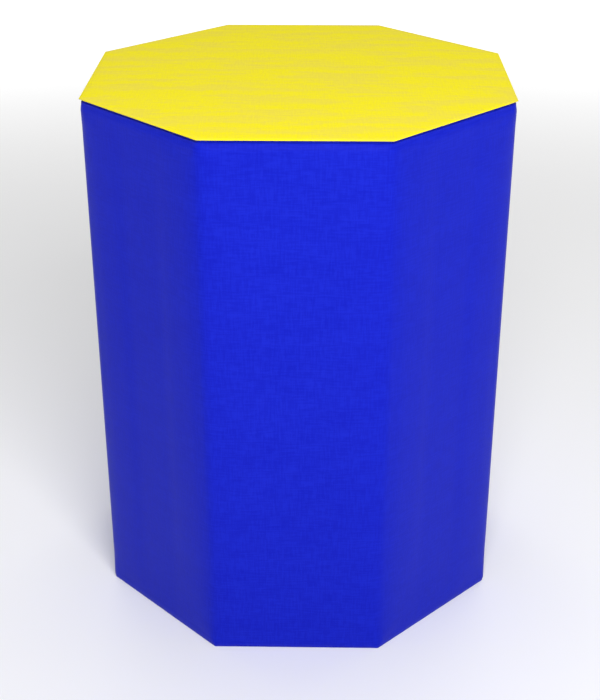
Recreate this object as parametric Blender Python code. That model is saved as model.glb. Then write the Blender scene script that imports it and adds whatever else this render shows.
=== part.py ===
"""Octagonal tumbling mat: a stack of foam slabs in a zipped PVC cover, standing on one end.

Units are metres and +Z is up. The origin is the centre of the base. The zip runs up the +Y face.
"""
from math import cos, hypot, pi, radians, sin, tan

import bmesh
import bpy
from mathutils import Matrix

# Overall size
ACROSS_FLATS = 0.600
HEIGHT = 0.800
SIDES = 8

# Space left between two pieces that touch
GAP = 0.0003

# Cover cloth and its end seams
CLOTH = 0.0008
SEAM_ALLOWANCE = 0.012
END_PANEL_CORNER = 0.002

# Rounding of the upright corners: at the end seams, where the seam allowance stops, and past the shoulder
CORNER_AT_SEAM = 0.006
CORNER_AT_ALLOWANCE = 0.022
CORNER_ROUND = 0.032
SHOULDER = 0.040
CORNER_STEPS = 4

# Zip opening
ZIP_END_MARGIN = 0.050
ZIP_PATCH_OVERLAP = 0.006
ZIP_PATCH_WIDTH = 0.040
ZIP_PATCH_HEIGHT = 0.030
ZIP_PATCH_CORNER = 0.004
SLOT_PLAY = 0.0008

# Zip chain
TAPE_WIDTH = 0.016
TAPE_THICKNESS = 0.0007
TAPE_PAST_SLOT = 0.012
TOOTH_PITCH = 0.005
TOOTH_REACH = 0.0032
TOOTH_PAST_MIDDLE = 0.0008
TOOTH_THICKNESS = 0.0032
SPINE_WIDTH = 0.001
STOP_HEIGHT = 0.004
BOTTOM_STOP_HEIGHT = 0.006
STOP_MARGIN = 0.001

# Slider
SLIDER_LENGTH = 0.022
SLIDER_WALL = 0.001
SLIDER_FLARE = 0.0016
WING_OUTSIDE = 0.0014
WING_INSIDE = 0.0012
WEDGE_LENGTH = 0.0085
WEDGE_WIDTH = 0.0044
CROWN_LENGTH = 0.013
CROWN_WIDTH = 0.003
CROWN_WALL = 0.0016
CROWN_PLAY = 0.0004

# Pull tab
PULL_BAR_RADIUS = 0.0008
PULL_ARM = 0.0015
PULL_PLAY = 0.0006
PULL_LENGTH = 0.042
PULL_WIDTH = 0.009
PULL_BAR_SIDES = 12

# Guard strip behind the zip
GUARD_WIDTH = 0.052
GUARD_DIP_WIDTH = 0.018
GUARD_SLOPE = 0.004
GUARD_PLAY = 0.0005

# Air vents
VENT_BORE = 0.0074
VENT_WALL = 0.0006
VENT_FLANGE = 0.0155
VENT_FLARE = 0.0112
VENT_SPACING = 0.170
VENT_END_MARGIN = 0.075
VENT_SEGMENTS = 16

# Foam core and its sleeve
SLAB_COUNT = 8
LINER = 0.0005
FOAM_EASE = 0.006
LINER_END_PLAY = 0.004
CHANNEL_PLAY = 0.0015

# Sizes worked out from those above: levels of the cover
FACE = ACROSS_FLATS / 2
STEP_ANGLE = 2 * pi / SIDES
WRAP_LOW = CLOTH + GAP
WRAP_HIGH = HEIGHT - WRAP_LOW
HEM_OUT = CLOTH + GAP
HEM_IN = HEM_OUT + CLOTH
SKIRT_OUT = HEM_IN + GAP
SKIRT_IN = SKIRT_OUT + CLOTH
FOAM_END_INSET = SKIRT_IN + GAP
LINER_OUT = CLOTH + GAP
LINER_IN = LINER_OUT + LINER
FOAM_INSET = LINER_IN + GAP

# Depths of the zip, along Y
TAPE_OUT = FACE - CLOTH - GAP
TAPE_MIDDLE = TAPE_OUT - TAPE_THICKNESS / 2
TAPE_IN = TAPE_OUT - TAPE_THICKNESS
CHANNEL_HALF = TOOTH_THICKNESS / 2 + GAP
WING_TOP = CHANNEL_HALF + WING_OUTSIDE
WING_BOTTOM = CHANNEL_HALF + WING_INSIDE
FLANGE_EDGE = TAPE_THICKNESS / 2 + GAP
GUARD_DIP = TAPE_MIDDLE - WING_BOTTOM - GUARD_PLAY
GUARD_EDGE = TAPE_IN - GAP

# Widths of the zip, along X
CHAIN_HALF = TOOTH_REACH + SPINE_WIDTH
TAPE_START = CHAIN_HALF + GAP
SLIDER_INNER = CHAIN_HALF + GAP
SLIDER_HALF = SLIDER_INNER + SLIDER_WALL
SLIDER_TOP_HALF = SLIDER_HALF + SLIDER_FLARE
SLOT_HALF = SLIDER_TOP_HALF + SLOT_PLAY
CHANNEL_FLOOR = GUARD_WIDTH / 2 + CHANNEL_PLAY

# Heights of the zip, along Z
SLOT_LOW = ZIP_END_MARGIN
SLOT_HIGH = HEIGHT - ZIP_END_MARGIN
BOTTOM_STOP_LOW = SLOT_LOW + ZIP_PATCH_OVERLAP + STOP_MARGIN
CHAIN_LOW = BOTTOM_STOP_LOW + BOTTOM_STOP_HEIGHT + GAP
SLIDER_TOP = SLOT_HIGH - ZIP_PATCH_OVERLAP - STOP_MARGIN
SLIDER_MIDDLE = SLIDER_TOP - SLIDER_LENGTH / 2
TEETH_HIGH = SLIDER_TOP - WEDGE_LENGTH - GAP
TOP_STOP_HIGH = SLIDER_TOP - WEDGE_LENGTH / 3
CHAIN_HIGH = TOP_STOP_HIGH - STOP_HEIGHT - GAP

# The pull tab's pivot and its window in the slider's crown
PIVOT_RISE = WING_TOP + GAP + PULL_BAR_RADIUS
CROWN_WINDOW = WING_TOP + 2 * (GAP + PULL_BAR_RADIUS) + CROWN_PLAY
CROWN_TOP = CROWN_WINDOW + CROWN_WALL
PULL_HOLE_HALF = CROWN_WIDTH / 2 + PULL_PLAY
PULL_ARM_HALF = PULL_HOLE_HALF + PULL_ARM
PULL_HOLE_END = hypot(CROWN_LENGTH / 2, CROWN_TOP - PIVOT_RISE) + PULL_PLAY


def clear_scene():
    """Remove whatever the open file holds."""
    for old in list(bpy.data.objects):
        bpy.data.objects.remove(old, do_unlink=True)


def make_material(name, colour, roughness, metallic=0.0):
    """A plain Principled material."""
    made = bpy.data.materials.new(name)
    made.use_nodes = True
    shader = made.node_tree.nodes["Principled BSDF"]
    shader.inputs["Base Color"].default_value = (*colour, 1.0)
    shader.inputs["Roughness"].default_value = roughness
    shader.inputs["Metallic"].default_value = metallic
    made.diffuse_color = (*colour, 1.0)
    return made


def blue_cloth(name):
    return make_material(name, (0.020, 0.024, 0.500), 0.38)


def yellow_cloth(name):
    return make_material(name, (0.880, 0.760, 0.015), 0.42)


def black_plastic(name):
    return make_material(name, (0.012, 0.012, 0.013), 0.45)


def black_weave(name):
    return make_material(name, (0.016, 0.016, 0.018), 0.90)


def nickel(name):
    return make_material(name, (0.620, 0.600, 0.560), 0.28, 1.0)


def brass(name):
    return make_material(name, (0.800, 0.620, 0.290), 0.30, 1.0)


def spunbond(name):
    return make_material(name, (0.800, 0.800, 0.780), 0.95)


def foam(name):
    return make_material(name, (0.780, 0.760, 0.620), 0.95)


def add_object(name, mesh_data, make, location=(0, 0, 0), parent=None, smooth=False):
    """Turn a bmesh into a named object with its own material."""
    bmesh.ops.recalc_face_normals(mesh_data, faces=mesh_data.faces)
    mesh = bpy.data.meshes.new(name)
    mesh_data.to_mesh(mesh)
    mesh_data.free()
    if smooth:
        mesh.shade_smooth()
        mesh.set_sharp_from_angle(angle=radians(35))
    made = bpy.data.objects.new(name, mesh)
    bpy.context.collection.objects.link(made)
    if make:
        mesh.materials.append(make(name + "_material"))
    made.parent = parent
    made.location = location
    return made


def add_tool(name, mesh_data, location=(0, 0, 0), parent=None):
    """A shape that only cuts or joins, and is no piece of the mat."""
    made = add_object(name, mesh_data, None, location, parent)
    made.hide_render = True
    made.display_type = "WIRE"
    return made


def combine(target, tool, operation):
    """Cut a tool's shape from an object, or join it to the object."""
    step = target.modifiers.new(tool.name, "BOOLEAN")
    step.operation = operation
    step.object = tool
    step.solver = "EXACT"


def join_meshes(meshes):
    """Put several bmeshes into one, side by side."""
    whole = bmesh.new()
    for one in meshes:
        mesh = bpy.data.meshes.new("joined")
        one.to_mesh(mesh)
        one.free()
        whole.from_mesh(mesh)
        bpy.data.meshes.remove(mesh)
    return whole


def prism(outline, low, high, axis="Z"):
    """A solid with a flat outline. The outline is (x, y) along Z, (x, z) along Y and (y, z) along X."""
    place = {
        "Z": lambda a, b, depth: (a, b, depth),
        "Y": lambda a, b, depth: (a, depth, b),
        "X": lambda a, b, depth: (depth, a, b),
    }[axis]
    made = bmesh.new()
    face = made.faces.new([made.verts.new(place(a, b, low)) for a, b in outline])
    grown = bmesh.ops.extrude_face_region(made, geom=[face])
    moved = [v for v in grown["geom"] if isinstance(v, bmesh.types.BMVert)]
    bmesh.ops.translate(made, verts=moved, vec=place(0, 0, high - low))
    bmesh.ops.recalc_face_normals(made, faces=made.faces)
    return made


def box(low, high):
    """A box between two corners."""
    outline = [(low[0], low[1]), (high[0], low[1]), (high[0], high[1]), (low[0], high[1])]
    return prism(outline, low[2], high[2])


def mirrored(points):
    """An outline's right half and its mirror image, as one outline."""
    return points + [(-a, b) for a, b in reversed(points)]


def loft(rings, ring_closes=False):
    """A solid skin over rings of equal length, with flat ends unless the last ring meets the first."""
    made = bmesh.new()
    loops = [[made.verts.new(point) for point in ring] for ring in rings]
    count = len(loops[0])
    pairs = list(zip(loops, loops[1:]))
    if ring_closes:
        pairs.append((loops[-1], loops[0]))
    for lower, upper in pairs:
        for i in range(count):
            j = (i + 1) % count
            made.faces.new((lower[i], lower[j], upper[j], upper[i]))
    if not ring_closes:
        made.faces.new(loops[0])
        made.faces.new(loops[-1])
    bmesh.ops.recalc_face_normals(made, faces=made.faces)
    return made


def corner_radius(z):
    """How round the cover's upright corners are at a height."""
    depth = max(min(z, HEIGHT - z) - WRAP_LOW, 0.0)
    if depth < SEAM_ALLOWANCE:
        share = depth / SEAM_ALLOWANCE
        return CORNER_AT_SEAM + share * (CORNER_AT_ALLOWANCE - CORNER_AT_SEAM)
    share = min((depth - SEAM_ALLOWANCE) / (SHOULDER - SEAM_ALLOWANCE), 1.0)
    return CORNER_AT_ALLOWANCE + share * (CORNER_ROUND - CORNER_AT_ALLOWANCE)


def rounded_ring(z, inset, radius, rear=()):
    """The eight-sided outline at a height, moved in by inset, with extra points across the +Y face."""
    reach = (FACE - inset - radius) / cos(STEP_ANGLE / 2)
    points = [(x, y, z) for x, y in rear]
    for side in range(SIDES):
        start = pi / 2 + side * STEP_ANGLE
        middle = start + STEP_ANGLE / 2
        for step in range(CORNER_STEPS + 1):
            turn = start + STEP_ANGLE * step / CORNER_STEPS
            x = reach * cos(middle) + radius * cos(turn)
            y = reach * sin(middle) + radius * sin(turn)
            points.append((x, y, z))
    return points


def cover_ring(z, inset, rear=()):
    """An outline that follows the cover's rounding at a height."""
    radius = max(corner_radius(z) - inset, GAP)
    return rounded_ring(z, inset, radius, rear)


def slot_rear(inset):
    """The two points that bound the zip opening on a wall of the wrap."""
    return [(SLOT_HALF, FACE - inset), (-SLOT_HALF, FACE - inset)]


def channel_rear(inset):
    """The channel that the zip presses into the core, with 45 degree walls, inside the cover."""
    deeper = inset - LINER_OUT
    floor = GUARD_DIP - CLOTH - GAP - deeper
    floor_half = CHANNEL_FLOOR + deeper * tan(pi / 8)
    top_half = floor_half + (FACE - inset) - floor
    half = [(top_half, FACE - inset), (floor_half, floor)]
    return half + [(-x, y) for x, y in reversed(half)]


def rounding_levels():
    """Heights at which the rounding of the cover's corners changes."""
    low = [WRAP_LOW + depth for depth in (0.0, SEAM_ALLOWANCE, SHOULDER)]
    return low + [HEIGHT - z for z in low]


def levels_between(low, high, extra=()):
    """The heights that a lofted piece needs, from bottom to top."""
    inside = {round(z, 7) for z in (*rounding_levels(), *extra) if low + GAP < z < high - GAP}
    return [low, *sorted(inside), high]


def side_wrap(vent_holes):
    """The blue wall, one piece all round, hemmed inwards at both ends and open at the zip."""
    slot = (SLOT_LOW, SLOT_HIGH)
    profile = [(0.0, z) for z in levels_between(WRAP_LOW, WRAP_HIGH, slot)]
    hem_low = WRAP_HIGH - SEAM_ALLOWANCE
    profile += [(HEM_IN, WRAP_HIGH), (HEM_IN, hem_low), (HEM_OUT, hem_low), (HEM_OUT, WRAP_HIGH - CLOTH)]
    inner = levels_between(WRAP_LOW + CLOTH, WRAP_HIGH - CLOTH, slot)
    profile += [(CLOTH, z) for z in reversed(inner)]
    hem_high = WRAP_LOW + SEAM_ALLOWANCE
    profile += [(HEM_OUT, WRAP_LOW + CLOTH), (HEM_OUT, hem_high), (HEM_IN, hem_high), (HEM_IN, WRAP_LOW)]
    made = loft([cover_ring(z, inset, slot_rear(inset)) for inset, z in profile], ring_closes=True)
    open_slot(made)
    wrap = add_object("side_wrap", made, blue_cloth, smooth=True)
    combine(wrap, vent_holes, "DIFFERENCE")
    return wrap


def open_slot(made):
    """Open the wall between the two zip edges, and close the cut edges of the cloth."""
    cut = []
    for face in made.faces:
        middle = face.calc_center_median()
        across = abs(middle.x) < GAP and middle.y > FACE - HEM_OUT
        if across and SLOT_LOW < middle.z < SLOT_HIGH:
            cut.append(face)
    bmesh.ops.delete(made, geom=cut, context="FACES")
    rim = [edge for edge in made.edges if edge.is_boundary]
    bmesh.ops.bridge_loops(made, edges=rim)


def end_panel(name, flip):
    """A yellow end, with its seam allowance turned in behind the wrap's hem."""
    under = HEIGHT - CLOTH
    skirt_end = WRAP_HIGH - SEAM_ALLOWANCE
    rings = [(0.0, HEIGHT, END_PANEL_CORNER), (0.0, under, END_PANEL_CORNER)]
    for inset, z in (
        (SKIRT_OUT, under),
        (SKIRT_OUT, WRAP_HIGH),
        (SKIRT_OUT, skirt_end),
        (SKIRT_IN, skirt_end),
        (SKIRT_IN, WRAP_HIGH),
        (SKIRT_IN, under),
    ):
        rings.append((inset, z, max(corner_radius(z) - inset, GAP)))
    made = loft([rounded_ring(HEIGHT - z if flip else z, inset, r) for inset, z, r in rings])
    return add_object(name, made, yellow_cloth, smooth=True)


def foam_slab(number, vent_pockets):
    """One slab of the core. The end slabs are drawn in behind the seam allowances."""
    low_end = CLOTH + GAP
    pitch = (HEIGHT - 2 * low_end + GAP) / SLAB_COUNT
    low = low_end + (number - 1) * pitch
    high = low + pitch - GAP
    eased = SEAM_ALLOWANCE + 2 * GAP
    full = eased + FOAM_EASE
    marks = [low_end + eased, low_end + full]
    marks += [HEIGHT - z for z in marks]

    def inset_at(z):
        depth = min(z, HEIGHT - z) - low_end
        share = min(max((depth - eased) / FOAM_EASE, 0.0), 1.0)
        return FOAM_END_INSET + share * (FOAM_INSET - FOAM_END_INSET)

    rings = []
    for z in levels_between(low, high, marks):
        inset = inset_at(z)
        rings.append(cover_ring(z, inset, channel_rear(inset)))
    name = "foam_slab_%d" % number
    slab = add_object(name, loft(rings), foam)
    combine(slab, vent_pockets, "DIFFERENCE")
    return slab


def slip_liner(vent_pockets):
    """The thin open-ended sleeve between the foam and the cover."""
    start = WRAP_LOW + SEAM_ALLOWANCE + LINER_END_PLAY
    levels = levels_between(start, HEIGHT - start)
    rings = [cover_ring(z, LINER_OUT, channel_rear(LINER_OUT)) for z in levels]
    rings += [cover_ring(z, LINER_IN, channel_rear(LINER_IN)) for z in reversed(levels)]
    liner = add_object("slip_liner", loft(rings, ring_closes=True), spunbond, smooth=True)
    combine(liner, vent_pockets, "DIFFERENCE")
    return liner


def zip_tape(name, side):
    """A woven tape behind one edge of the opening."""
    near, far = TAPE_START, TAPE_START + TAPE_WIDTH
    low, high = SLOT_LOW - TAPE_PAST_SLOT, SLOT_HIGH + TAPE_PAST_SLOT
    edges = sorted((side * near, side * far))
    return add_object(name, box((edges[0], TAPE_IN, low), (edges[1], TAPE_OUT, high)), black_weave)


def zip_teeth(name, side, start):
    """One row of teeth on its spine. The two rows are half a pitch apart, so that they mesh."""
    width = TOOTH_PITCH / 2 - GAP
    outline = [(CHAIN_HALF, CHAIN_HIGH), (CHAIN_HALF, CHAIN_LOW), (TOOTH_REACH, CHAIN_LOW)]
    low = CHAIN_LOW + start
    while low + width < TEETH_HIGH:
        outline += [(TOOTH_REACH, low), (-TOOTH_PAST_MIDDLE, low)]
        outline += [(-TOOTH_PAST_MIDDLE, low + width), (TOOTH_REACH, low + width)]
        low += TOOTH_PITCH
    outline.append((TOOTH_REACH, CHAIN_HIGH))
    outline = [(side * x, z) for x, z in outline]
    half = TOOTH_THICKNESS / 2
    return add_object(name, prism(outline, TAPE_MIDDLE - half, TAPE_MIDDLE + half, "Y"), black_plastic)


def zip_top_stop(name, side):
    """A stop on one tape, beside the slider's wedge when the zip is shut."""
    near, far = sorted((side * (WEDGE_WIDTH / 2 + GAP), side * CHAIN_HALF))
    half = TOOTH_THICKNESS / 2
    low = (near, TAPE_MIDDLE - half, TOP_STOP_HIGH - STOP_HEIGHT)
    return add_object(name, box(low, (far, TAPE_MIDDLE + half, TOP_STOP_HIGH)), nickel)


def zip_bottom_stop():
    """The block that joins both rows below the lowest tooth."""
    half = TOOTH_THICKNESS / 2
    low = (-CHAIN_HALF, TAPE_MIDDLE - half, BOTTOM_STOP_LOW)
    high = (CHAIN_HALF, TAPE_MIDDLE + half, BOTTOM_STOP_LOW + BOTTOM_STOP_HEIGHT)
    return add_object("zip_bottom_stop", box(low, high), nickel)


def zip_guard_strip():
    """The strip behind the zip, dipped so that the slider's inner wing clears it."""
    dip = GUARD_DIP_WIDTH / 2
    half = [(GUARD_WIDTH / 2, GUARD_EDGE), (dip + GUARD_SLOPE, GUARD_EDGE), (dip, GUARD_DIP)]
    outer = mirrored(half)
    inner = [(x, y - CLOTH) for x, y in reversed(outer)]
    low, high = SLOT_LOW - TAPE_PAST_SLOT, SLOT_HIGH + TAPE_PAST_SLOT
    return add_object("zip_guard_strip", prism(outer + inner, low, high), blue_cloth)


def zip_end_patch(name, low):
    """A patch over one end of the zip opening, with rounded corners."""
    made = bmesh.new()
    size = (ZIP_PATCH_WIDTH, CLOTH, ZIP_PATCH_HEIGHT)
    middle = (0, FACE + GAP + CLOTH / 2, low + ZIP_PATCH_HEIGHT / 2)
    bmesh.ops.create_cube(made, size=1, matrix=Matrix.Translation(middle) @ Matrix.Diagonal((*size, 1)))
    through = [e for e in made.edges if abs((e.verts[0].co - e.verts[1].co).y) > CLOTH / 2]
    corner = min(ZIP_PATCH_CORNER, ZIP_PATCH_WIDTH / 3, ZIP_PATCH_HEIGHT / 3)
    bmesh.ops.bevel(made, geom=through, offset=corner, segments=3, profile=0.5, affect="EDGES")
    return add_object(name, made, blue_cloth)


def slider_outline(inner):
    """The slider seen from outside: straight where the teeth are shut, flared at the wedge end."""
    half, wide = (SLIDER_INNER, SLIDER_TOP_HALF - SLIDER_WALL) if inner else (SLIDER_HALF, SLIDER_TOP_HALF)
    low, high = -SLIDER_LENGTH / 2, SLIDER_LENGTH / 2
    wedge_low = high - WEDGE_LENGTH
    flare_end = high - WEDGE_LENGTH / 2
    return [(half, low), (half, wedge_low - SLIDER_FLARE), (wide, flare_end), (wide, high)]


def zip_slider():
    """The slider: a block with a Y-shaped way for the teeth, tape slots and a crown for the pull."""
    body = prism(mirrored(slider_outline(False)), -WING_BOTTOM, WING_TOP, "Y")
    slider = add_object("zip_slider", body, nickel, (0, TAPE_MIDDLE, SLIDER_MIDDLE))
    past = SLIDER_LENGTH
    top = SLIDER_LENGTH / 2
    way = slider_outline(True)
    way[0] = (way[0][0], -past)
    way[-1] = (way[-1][0], past)
    wedge = [(WEDGE_WIDTH / 2, past), (WEDGE_WIDTH / 2, top - WEDGE_LENGTH / 3)]
    half = way + wedge
    outline = half + [(0.0, top - WEDGE_LENGTH)] + [(-x, z) for x, z in reversed(half)]
    cut = add_tool("slider_way", prism(outline, -CHANNEL_HALF, CHANNEL_HALF, "Y"), parent=slider)
    combine(slider, cut, "DIFFERENCE")
    near = SLIDER_INNER - SLIDER_WALL / 2
    slots = []
    for side in (-1, 1):
        left, right = sorted((side * near, side * past))
        slots.append(box((left, -FLANGE_EDGE, -past), (right, FLANGE_EDGE, past)))
    cut = add_tool("slider_tape_slots", join_meshes(slots), parent=slider)
    combine(slider, cut, "DIFFERENCE")
    crown = prism(crown_outline(), -CROWN_WIDTH / 2, CROWN_WIDTH / 2, "X")
    combine(slider, add_tool("slider_crown", crown, parent=slider), "UNION")
    return slider


def crown_outline():
    """The bridge over the pull's bar, as (y, z) points, its feet sunk into the outer wing."""
    foot = WING_TOP - WING_OUTSIDE / 2
    half, window = CROWN_LENGTH / 2, CROWN_LENGTH / 2 - CROWN_WALL
    chamfer = CROWN_WALL / 2
    right = [(foot, half), (CROWN_TOP - chamfer, half), (CROWN_TOP, half - chamfer)]
    left = [(y, -z) for y, z in reversed(right)]
    inside = [(foot, -window), (CROWN_WINDOW, -window), (CROWN_WINDOW, window), (foot, window)]
    return right + left + inside


def zip_pull(slider):
    """The tab: a bar under the crown, two arms round it and a tapered plate. Its origin is the pivot."""
    radius = PULL_BAR_RADIUS
    shoulder = PULL_HOLE_END + PULL_ARM
    end = PULL_WIDTH / 2
    half = [(PULL_ARM_HALF, 0.0), (PULL_ARM_HALF, -shoulder), (end, -PULL_LENGTH + end)]
    half += [(end * cos(a), -PULL_LENGTH + end - end * sin(a)) for a in (pi / 8, pi / 4, 3 * pi / 8)]
    half.append((end * cos(1.4), -PULL_LENGTH))
    plate = prism(mirrored(half), -radius, radius, "Y")
    pull = add_object("zip_pull", plate, nickel, (0, PIVOT_RISE, 0), slider)
    hole = box((-PULL_HOLE_HALF, -PULL_LENGTH, -PULL_HOLE_END), (PULL_HOLE_HALF, PULL_LENGTH, PULL_LENGTH))
    combine(pull, add_tool("pull_hole", hole, (0, PIVOT_RISE, 0), slider), "DIFFERENCE")
    bar = bmesh.new()
    along = Matrix.Rotation(pi / 2, 4, "Y") @ Matrix.Rotation(pi / PULL_BAR_SIDES, 4, "Z")
    bmesh.ops.create_cone(
        bar,
        cap_ends=True,
        segments=PULL_BAR_SIDES,
        radius1=radius,
        radius2=radius,
        depth=2 * PULL_ARM_HALF,
        matrix=along,
    )
    combine(pull, add_tool("pull_bar", bar, (0, PIVOT_RISE, 0), slider), "UNION")
    return pull


def turned(profile, centre):
    """A ring turned about an axis along Y through a centre, from a closed profile of (radius, y) points."""
    made = bmesh.new()
    points = [made.verts.new((centre[0] + radius, y, centre[1])) for radius, y in profile]
    edges = [made.edges.new(pair) for pair in zip(points, points[1:] + points[:1])]
    bmesh.ops.spin(
        made,
        geom=points + edges,
        cent=(centre[0], 0, centre[1]),
        axis=(0, 1, 0),
        angle=2 * pi,
        steps=VENT_SEGMENTS,
        use_merge=True,
    )
    return made


def vent_places():
    """Centres of the four vents on the zip face, as (x, z)."""
    across, low = VENT_SPACING / 2, VENT_END_MARGIN
    return [(x, z) for z in (low, HEIGHT - low) for x in (-across, across)]


def vent_eyelet(number, centre):
    """An eyelet: flange outside the cover, barrel through it, end rolled over the washer."""
    bore, barrel = VENT_BORE / 2, VENT_BORE / 2 + VENT_WALL
    outside = FACE + GAP
    washer_in = FACE - CLOTH - 2 * GAP - VENT_WALL
    profile = [
        (bore, outside + VENT_WALL),
        (VENT_FLANGE / 2 - VENT_WALL, outside + VENT_WALL),
        (VENT_FLANGE / 2, outside),
        (barrel, outside),
        (barrel, washer_in),
        (VENT_FLARE / 2, washer_in),
        (VENT_FLARE / 2, washer_in - VENT_WALL),
        (bore, washer_in - VENT_WALL),
    ]
    return add_object("vent_eyelet_%d" % number, turned(profile, centre), brass, smooth=True)


def vent_washer(number, centre):
    """The flat ring that the eyelet is clinched on, inside the cover."""
    inner = VENT_BORE / 2 + VENT_WALL + GAP
    high = FACE - CLOTH - GAP
    low = high - VENT_WALL
    profile = [(inner, high), (VENT_FLANGE / 2, high), (VENT_FLANGE / 2, low), (inner, low)]
    return add_object("vent_washer_%d" % number, turned(profile, centre), brass, smooth=True)


def vent_cutters(name, radius, low, high):
    """Four round cutters, one at each vent."""
    pins = []
    for x, z in vent_places():
        pin = bmesh.new()
        place = Matrix.Translation((x, (low + high) / 2, z)) @ Matrix.Rotation(pi / 2, 4, "X")
        bmesh.ops.create_cone(
            pin,
            cap_ends=True,
            segments=VENT_SEGMENTS,
            radius1=radius,
            radius2=radius,
            depth=high - low,
            matrix=place,
        )
        pins.append(pin)
    return add_tool(name, join_meshes(pins))


def build():
    """Make every piece of the mat."""
    clear_scene()
    barrel = VENT_BORE / 2 + VENT_WALL
    holes = vent_cutters("vent_holes", barrel + GAP, FACE - SLIDER_LENGTH, FACE + SLIDER_LENGTH)
    pocket_floor = FACE - CLOTH - 3 * GAP - 2 * VENT_WALL
    pockets = vent_cutters("vent_pockets", VENT_FLANGE / 2 + GAP, pocket_floor, FACE + SLIDER_LENGTH)
    side_wrap(holes)
    end_panel("top_end_panel", False)
    end_panel("bottom_end_panel", True)
    slip_liner(pockets)
    for number in range(1, SLAB_COUNT + 1):
        foam_slab(number, pockets)
    for name, side in (("left", 1), ("right", -1)):
        zip_tape("zip_tape_" + name, side)
        zip_teeth("zip_teeth_" + name, side, 0.0 if side > 0 else TOOTH_PITCH / 2)
        zip_top_stop("zip_top_stop_" + name, side)
    zip_bottom_stop()
    zip_guard_strip()
    zip_end_patch("zip_end_patch_top", SLOT_HIGH - ZIP_PATCH_OVERLAP)
    zip_end_patch("zip_end_patch_bottom", SLOT_LOW + ZIP_PATCH_OVERLAP - ZIP_PATCH_HEIGHT)
    zip_pull(zip_slider())
    for number, centre in enumerate(vent_places(), 1):
        vent_eyelet(number, centre)
        vent_washer(number, centre)


build()
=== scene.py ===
"""Looks for the octagon tumbling mat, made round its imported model. Blender 4.5, lengths in metres."""

from math import atan2, copysign, cos, exp, hypot, pi, radians, sin, tan, tanh

import bmesh
import bpy
from bpy.props import FloatProperty, FloatVectorProperty, PointerProperty
from mathutils import Matrix, Vector, noise


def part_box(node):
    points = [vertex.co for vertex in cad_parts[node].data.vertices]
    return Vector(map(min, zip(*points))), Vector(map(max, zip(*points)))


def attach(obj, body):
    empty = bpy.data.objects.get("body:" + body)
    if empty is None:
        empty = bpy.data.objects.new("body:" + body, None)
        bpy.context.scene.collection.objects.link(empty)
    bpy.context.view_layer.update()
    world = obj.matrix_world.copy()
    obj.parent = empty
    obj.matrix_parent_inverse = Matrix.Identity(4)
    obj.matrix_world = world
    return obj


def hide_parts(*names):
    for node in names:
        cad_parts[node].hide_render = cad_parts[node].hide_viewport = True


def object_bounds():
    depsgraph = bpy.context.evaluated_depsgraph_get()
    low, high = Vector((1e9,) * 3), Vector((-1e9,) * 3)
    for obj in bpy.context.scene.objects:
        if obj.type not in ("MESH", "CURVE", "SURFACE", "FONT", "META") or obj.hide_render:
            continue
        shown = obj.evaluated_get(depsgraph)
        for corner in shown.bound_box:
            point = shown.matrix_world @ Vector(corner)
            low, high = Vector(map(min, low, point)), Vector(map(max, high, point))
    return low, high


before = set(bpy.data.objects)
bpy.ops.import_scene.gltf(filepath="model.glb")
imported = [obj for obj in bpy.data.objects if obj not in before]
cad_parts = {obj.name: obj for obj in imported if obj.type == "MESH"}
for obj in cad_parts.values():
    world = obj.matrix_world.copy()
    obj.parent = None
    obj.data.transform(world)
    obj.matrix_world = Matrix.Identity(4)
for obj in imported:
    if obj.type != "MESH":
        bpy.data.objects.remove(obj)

bl_info = {
    "name": "Octagon tumbling mat",
    "version": (1, 0, 0),
    "blender": (4, 5, 0),
    "location": "3D View > Sidebar > Tumbling Mat",
    "description": "Makes the mat's cover, zip, vents and foam core, and a plain studio round it",
    "category": "Add Mesh",
}

MM = 0.001
SIDES = 8
SLABS = 8
TURN = 2 * pi / SIDES

# What the CAD frame says
CAD_LOW, CAD_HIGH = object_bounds()
HEIGHT = CAD_HIGH.z
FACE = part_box("side_wrap")[1].y
WRAP_LOW, WRAP_HIGH = (corner.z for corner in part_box("side_wrap"))
SIDE = 2 * FACE * tan(TURN / 2)
TAPE_MIDDLE = sum(corner.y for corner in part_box("zip_tape_left")) / 2
CHAIN_LOW, CHAIN_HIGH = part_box("zip_teeth_left")
PATCH_TOP_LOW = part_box("zip_end_patch_top")[0]
PATCH_BOTTOM_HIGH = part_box("zip_end_patch_bottom")[1]
VENTS = [sum(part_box("vent_eyelet_%d" % n), Vector()) / 2 for n in (1, 2, 3, 4)]

# The zip opening, to the cloth's folds: the patches overlap each of its ends
SLOT_HALF = 8.7 * MM
PATCH_OVERLAP = 6 * MM
SLOT_LOW = PATCH_BOTTOM_HIGH.z - PATCH_OVERLAP
SLOT_HIGH = PATCH_TOP_LOW.z + PATCH_OVERLAP
# How much cloth is folded back along it, how far out that makes the cloth stand proud, and over what
# distance it comes down again
TURN_BACK = 8 * MM
WELT_EDGE = 10 * MM
WELT_FADE = 5 * MM
# How round a patch's corners are, and how far inside its edge it is sewn on
PATCH_CORNER = 4 * MM
PATCH_SEAM = 2.5 * MM

# One unit of a cloth piece's UV map is this many metres of cloth
CLOTH_SPAN = 2.0
# Rounding of the wrap's upright corners, and the height over which they sharpen towards a seam
CORNER = 32 * MM
SHOULDER = 40 * MM
# How far tight cloth can press into the foam behind it, and in how many frames it settles
SINK = 0.15 * MM
SETTLE_FRAMES = 20
# How tall the pinched groove at an end seam is, how much deeper it is at the top than at the base,
# and how far the wrap laps the base's seam
GROOVE = 5.0 * MM
PINCH = 2.0 * MM
BASE_LAP = 1.4 * MM

# Points closer than WELD are one point, and a point closer than NEAR to a plane lies on it
WELD = 0.01 * MM
NEAR = 0.1 * MM
# A direction whose y is over this faces straight back
REARWARD = 0.99

# The floor's radius, and how bright the far floor and the wall of the room look
FLOOR_RADIUS = 14.0
HORIZON = 1.0

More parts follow.
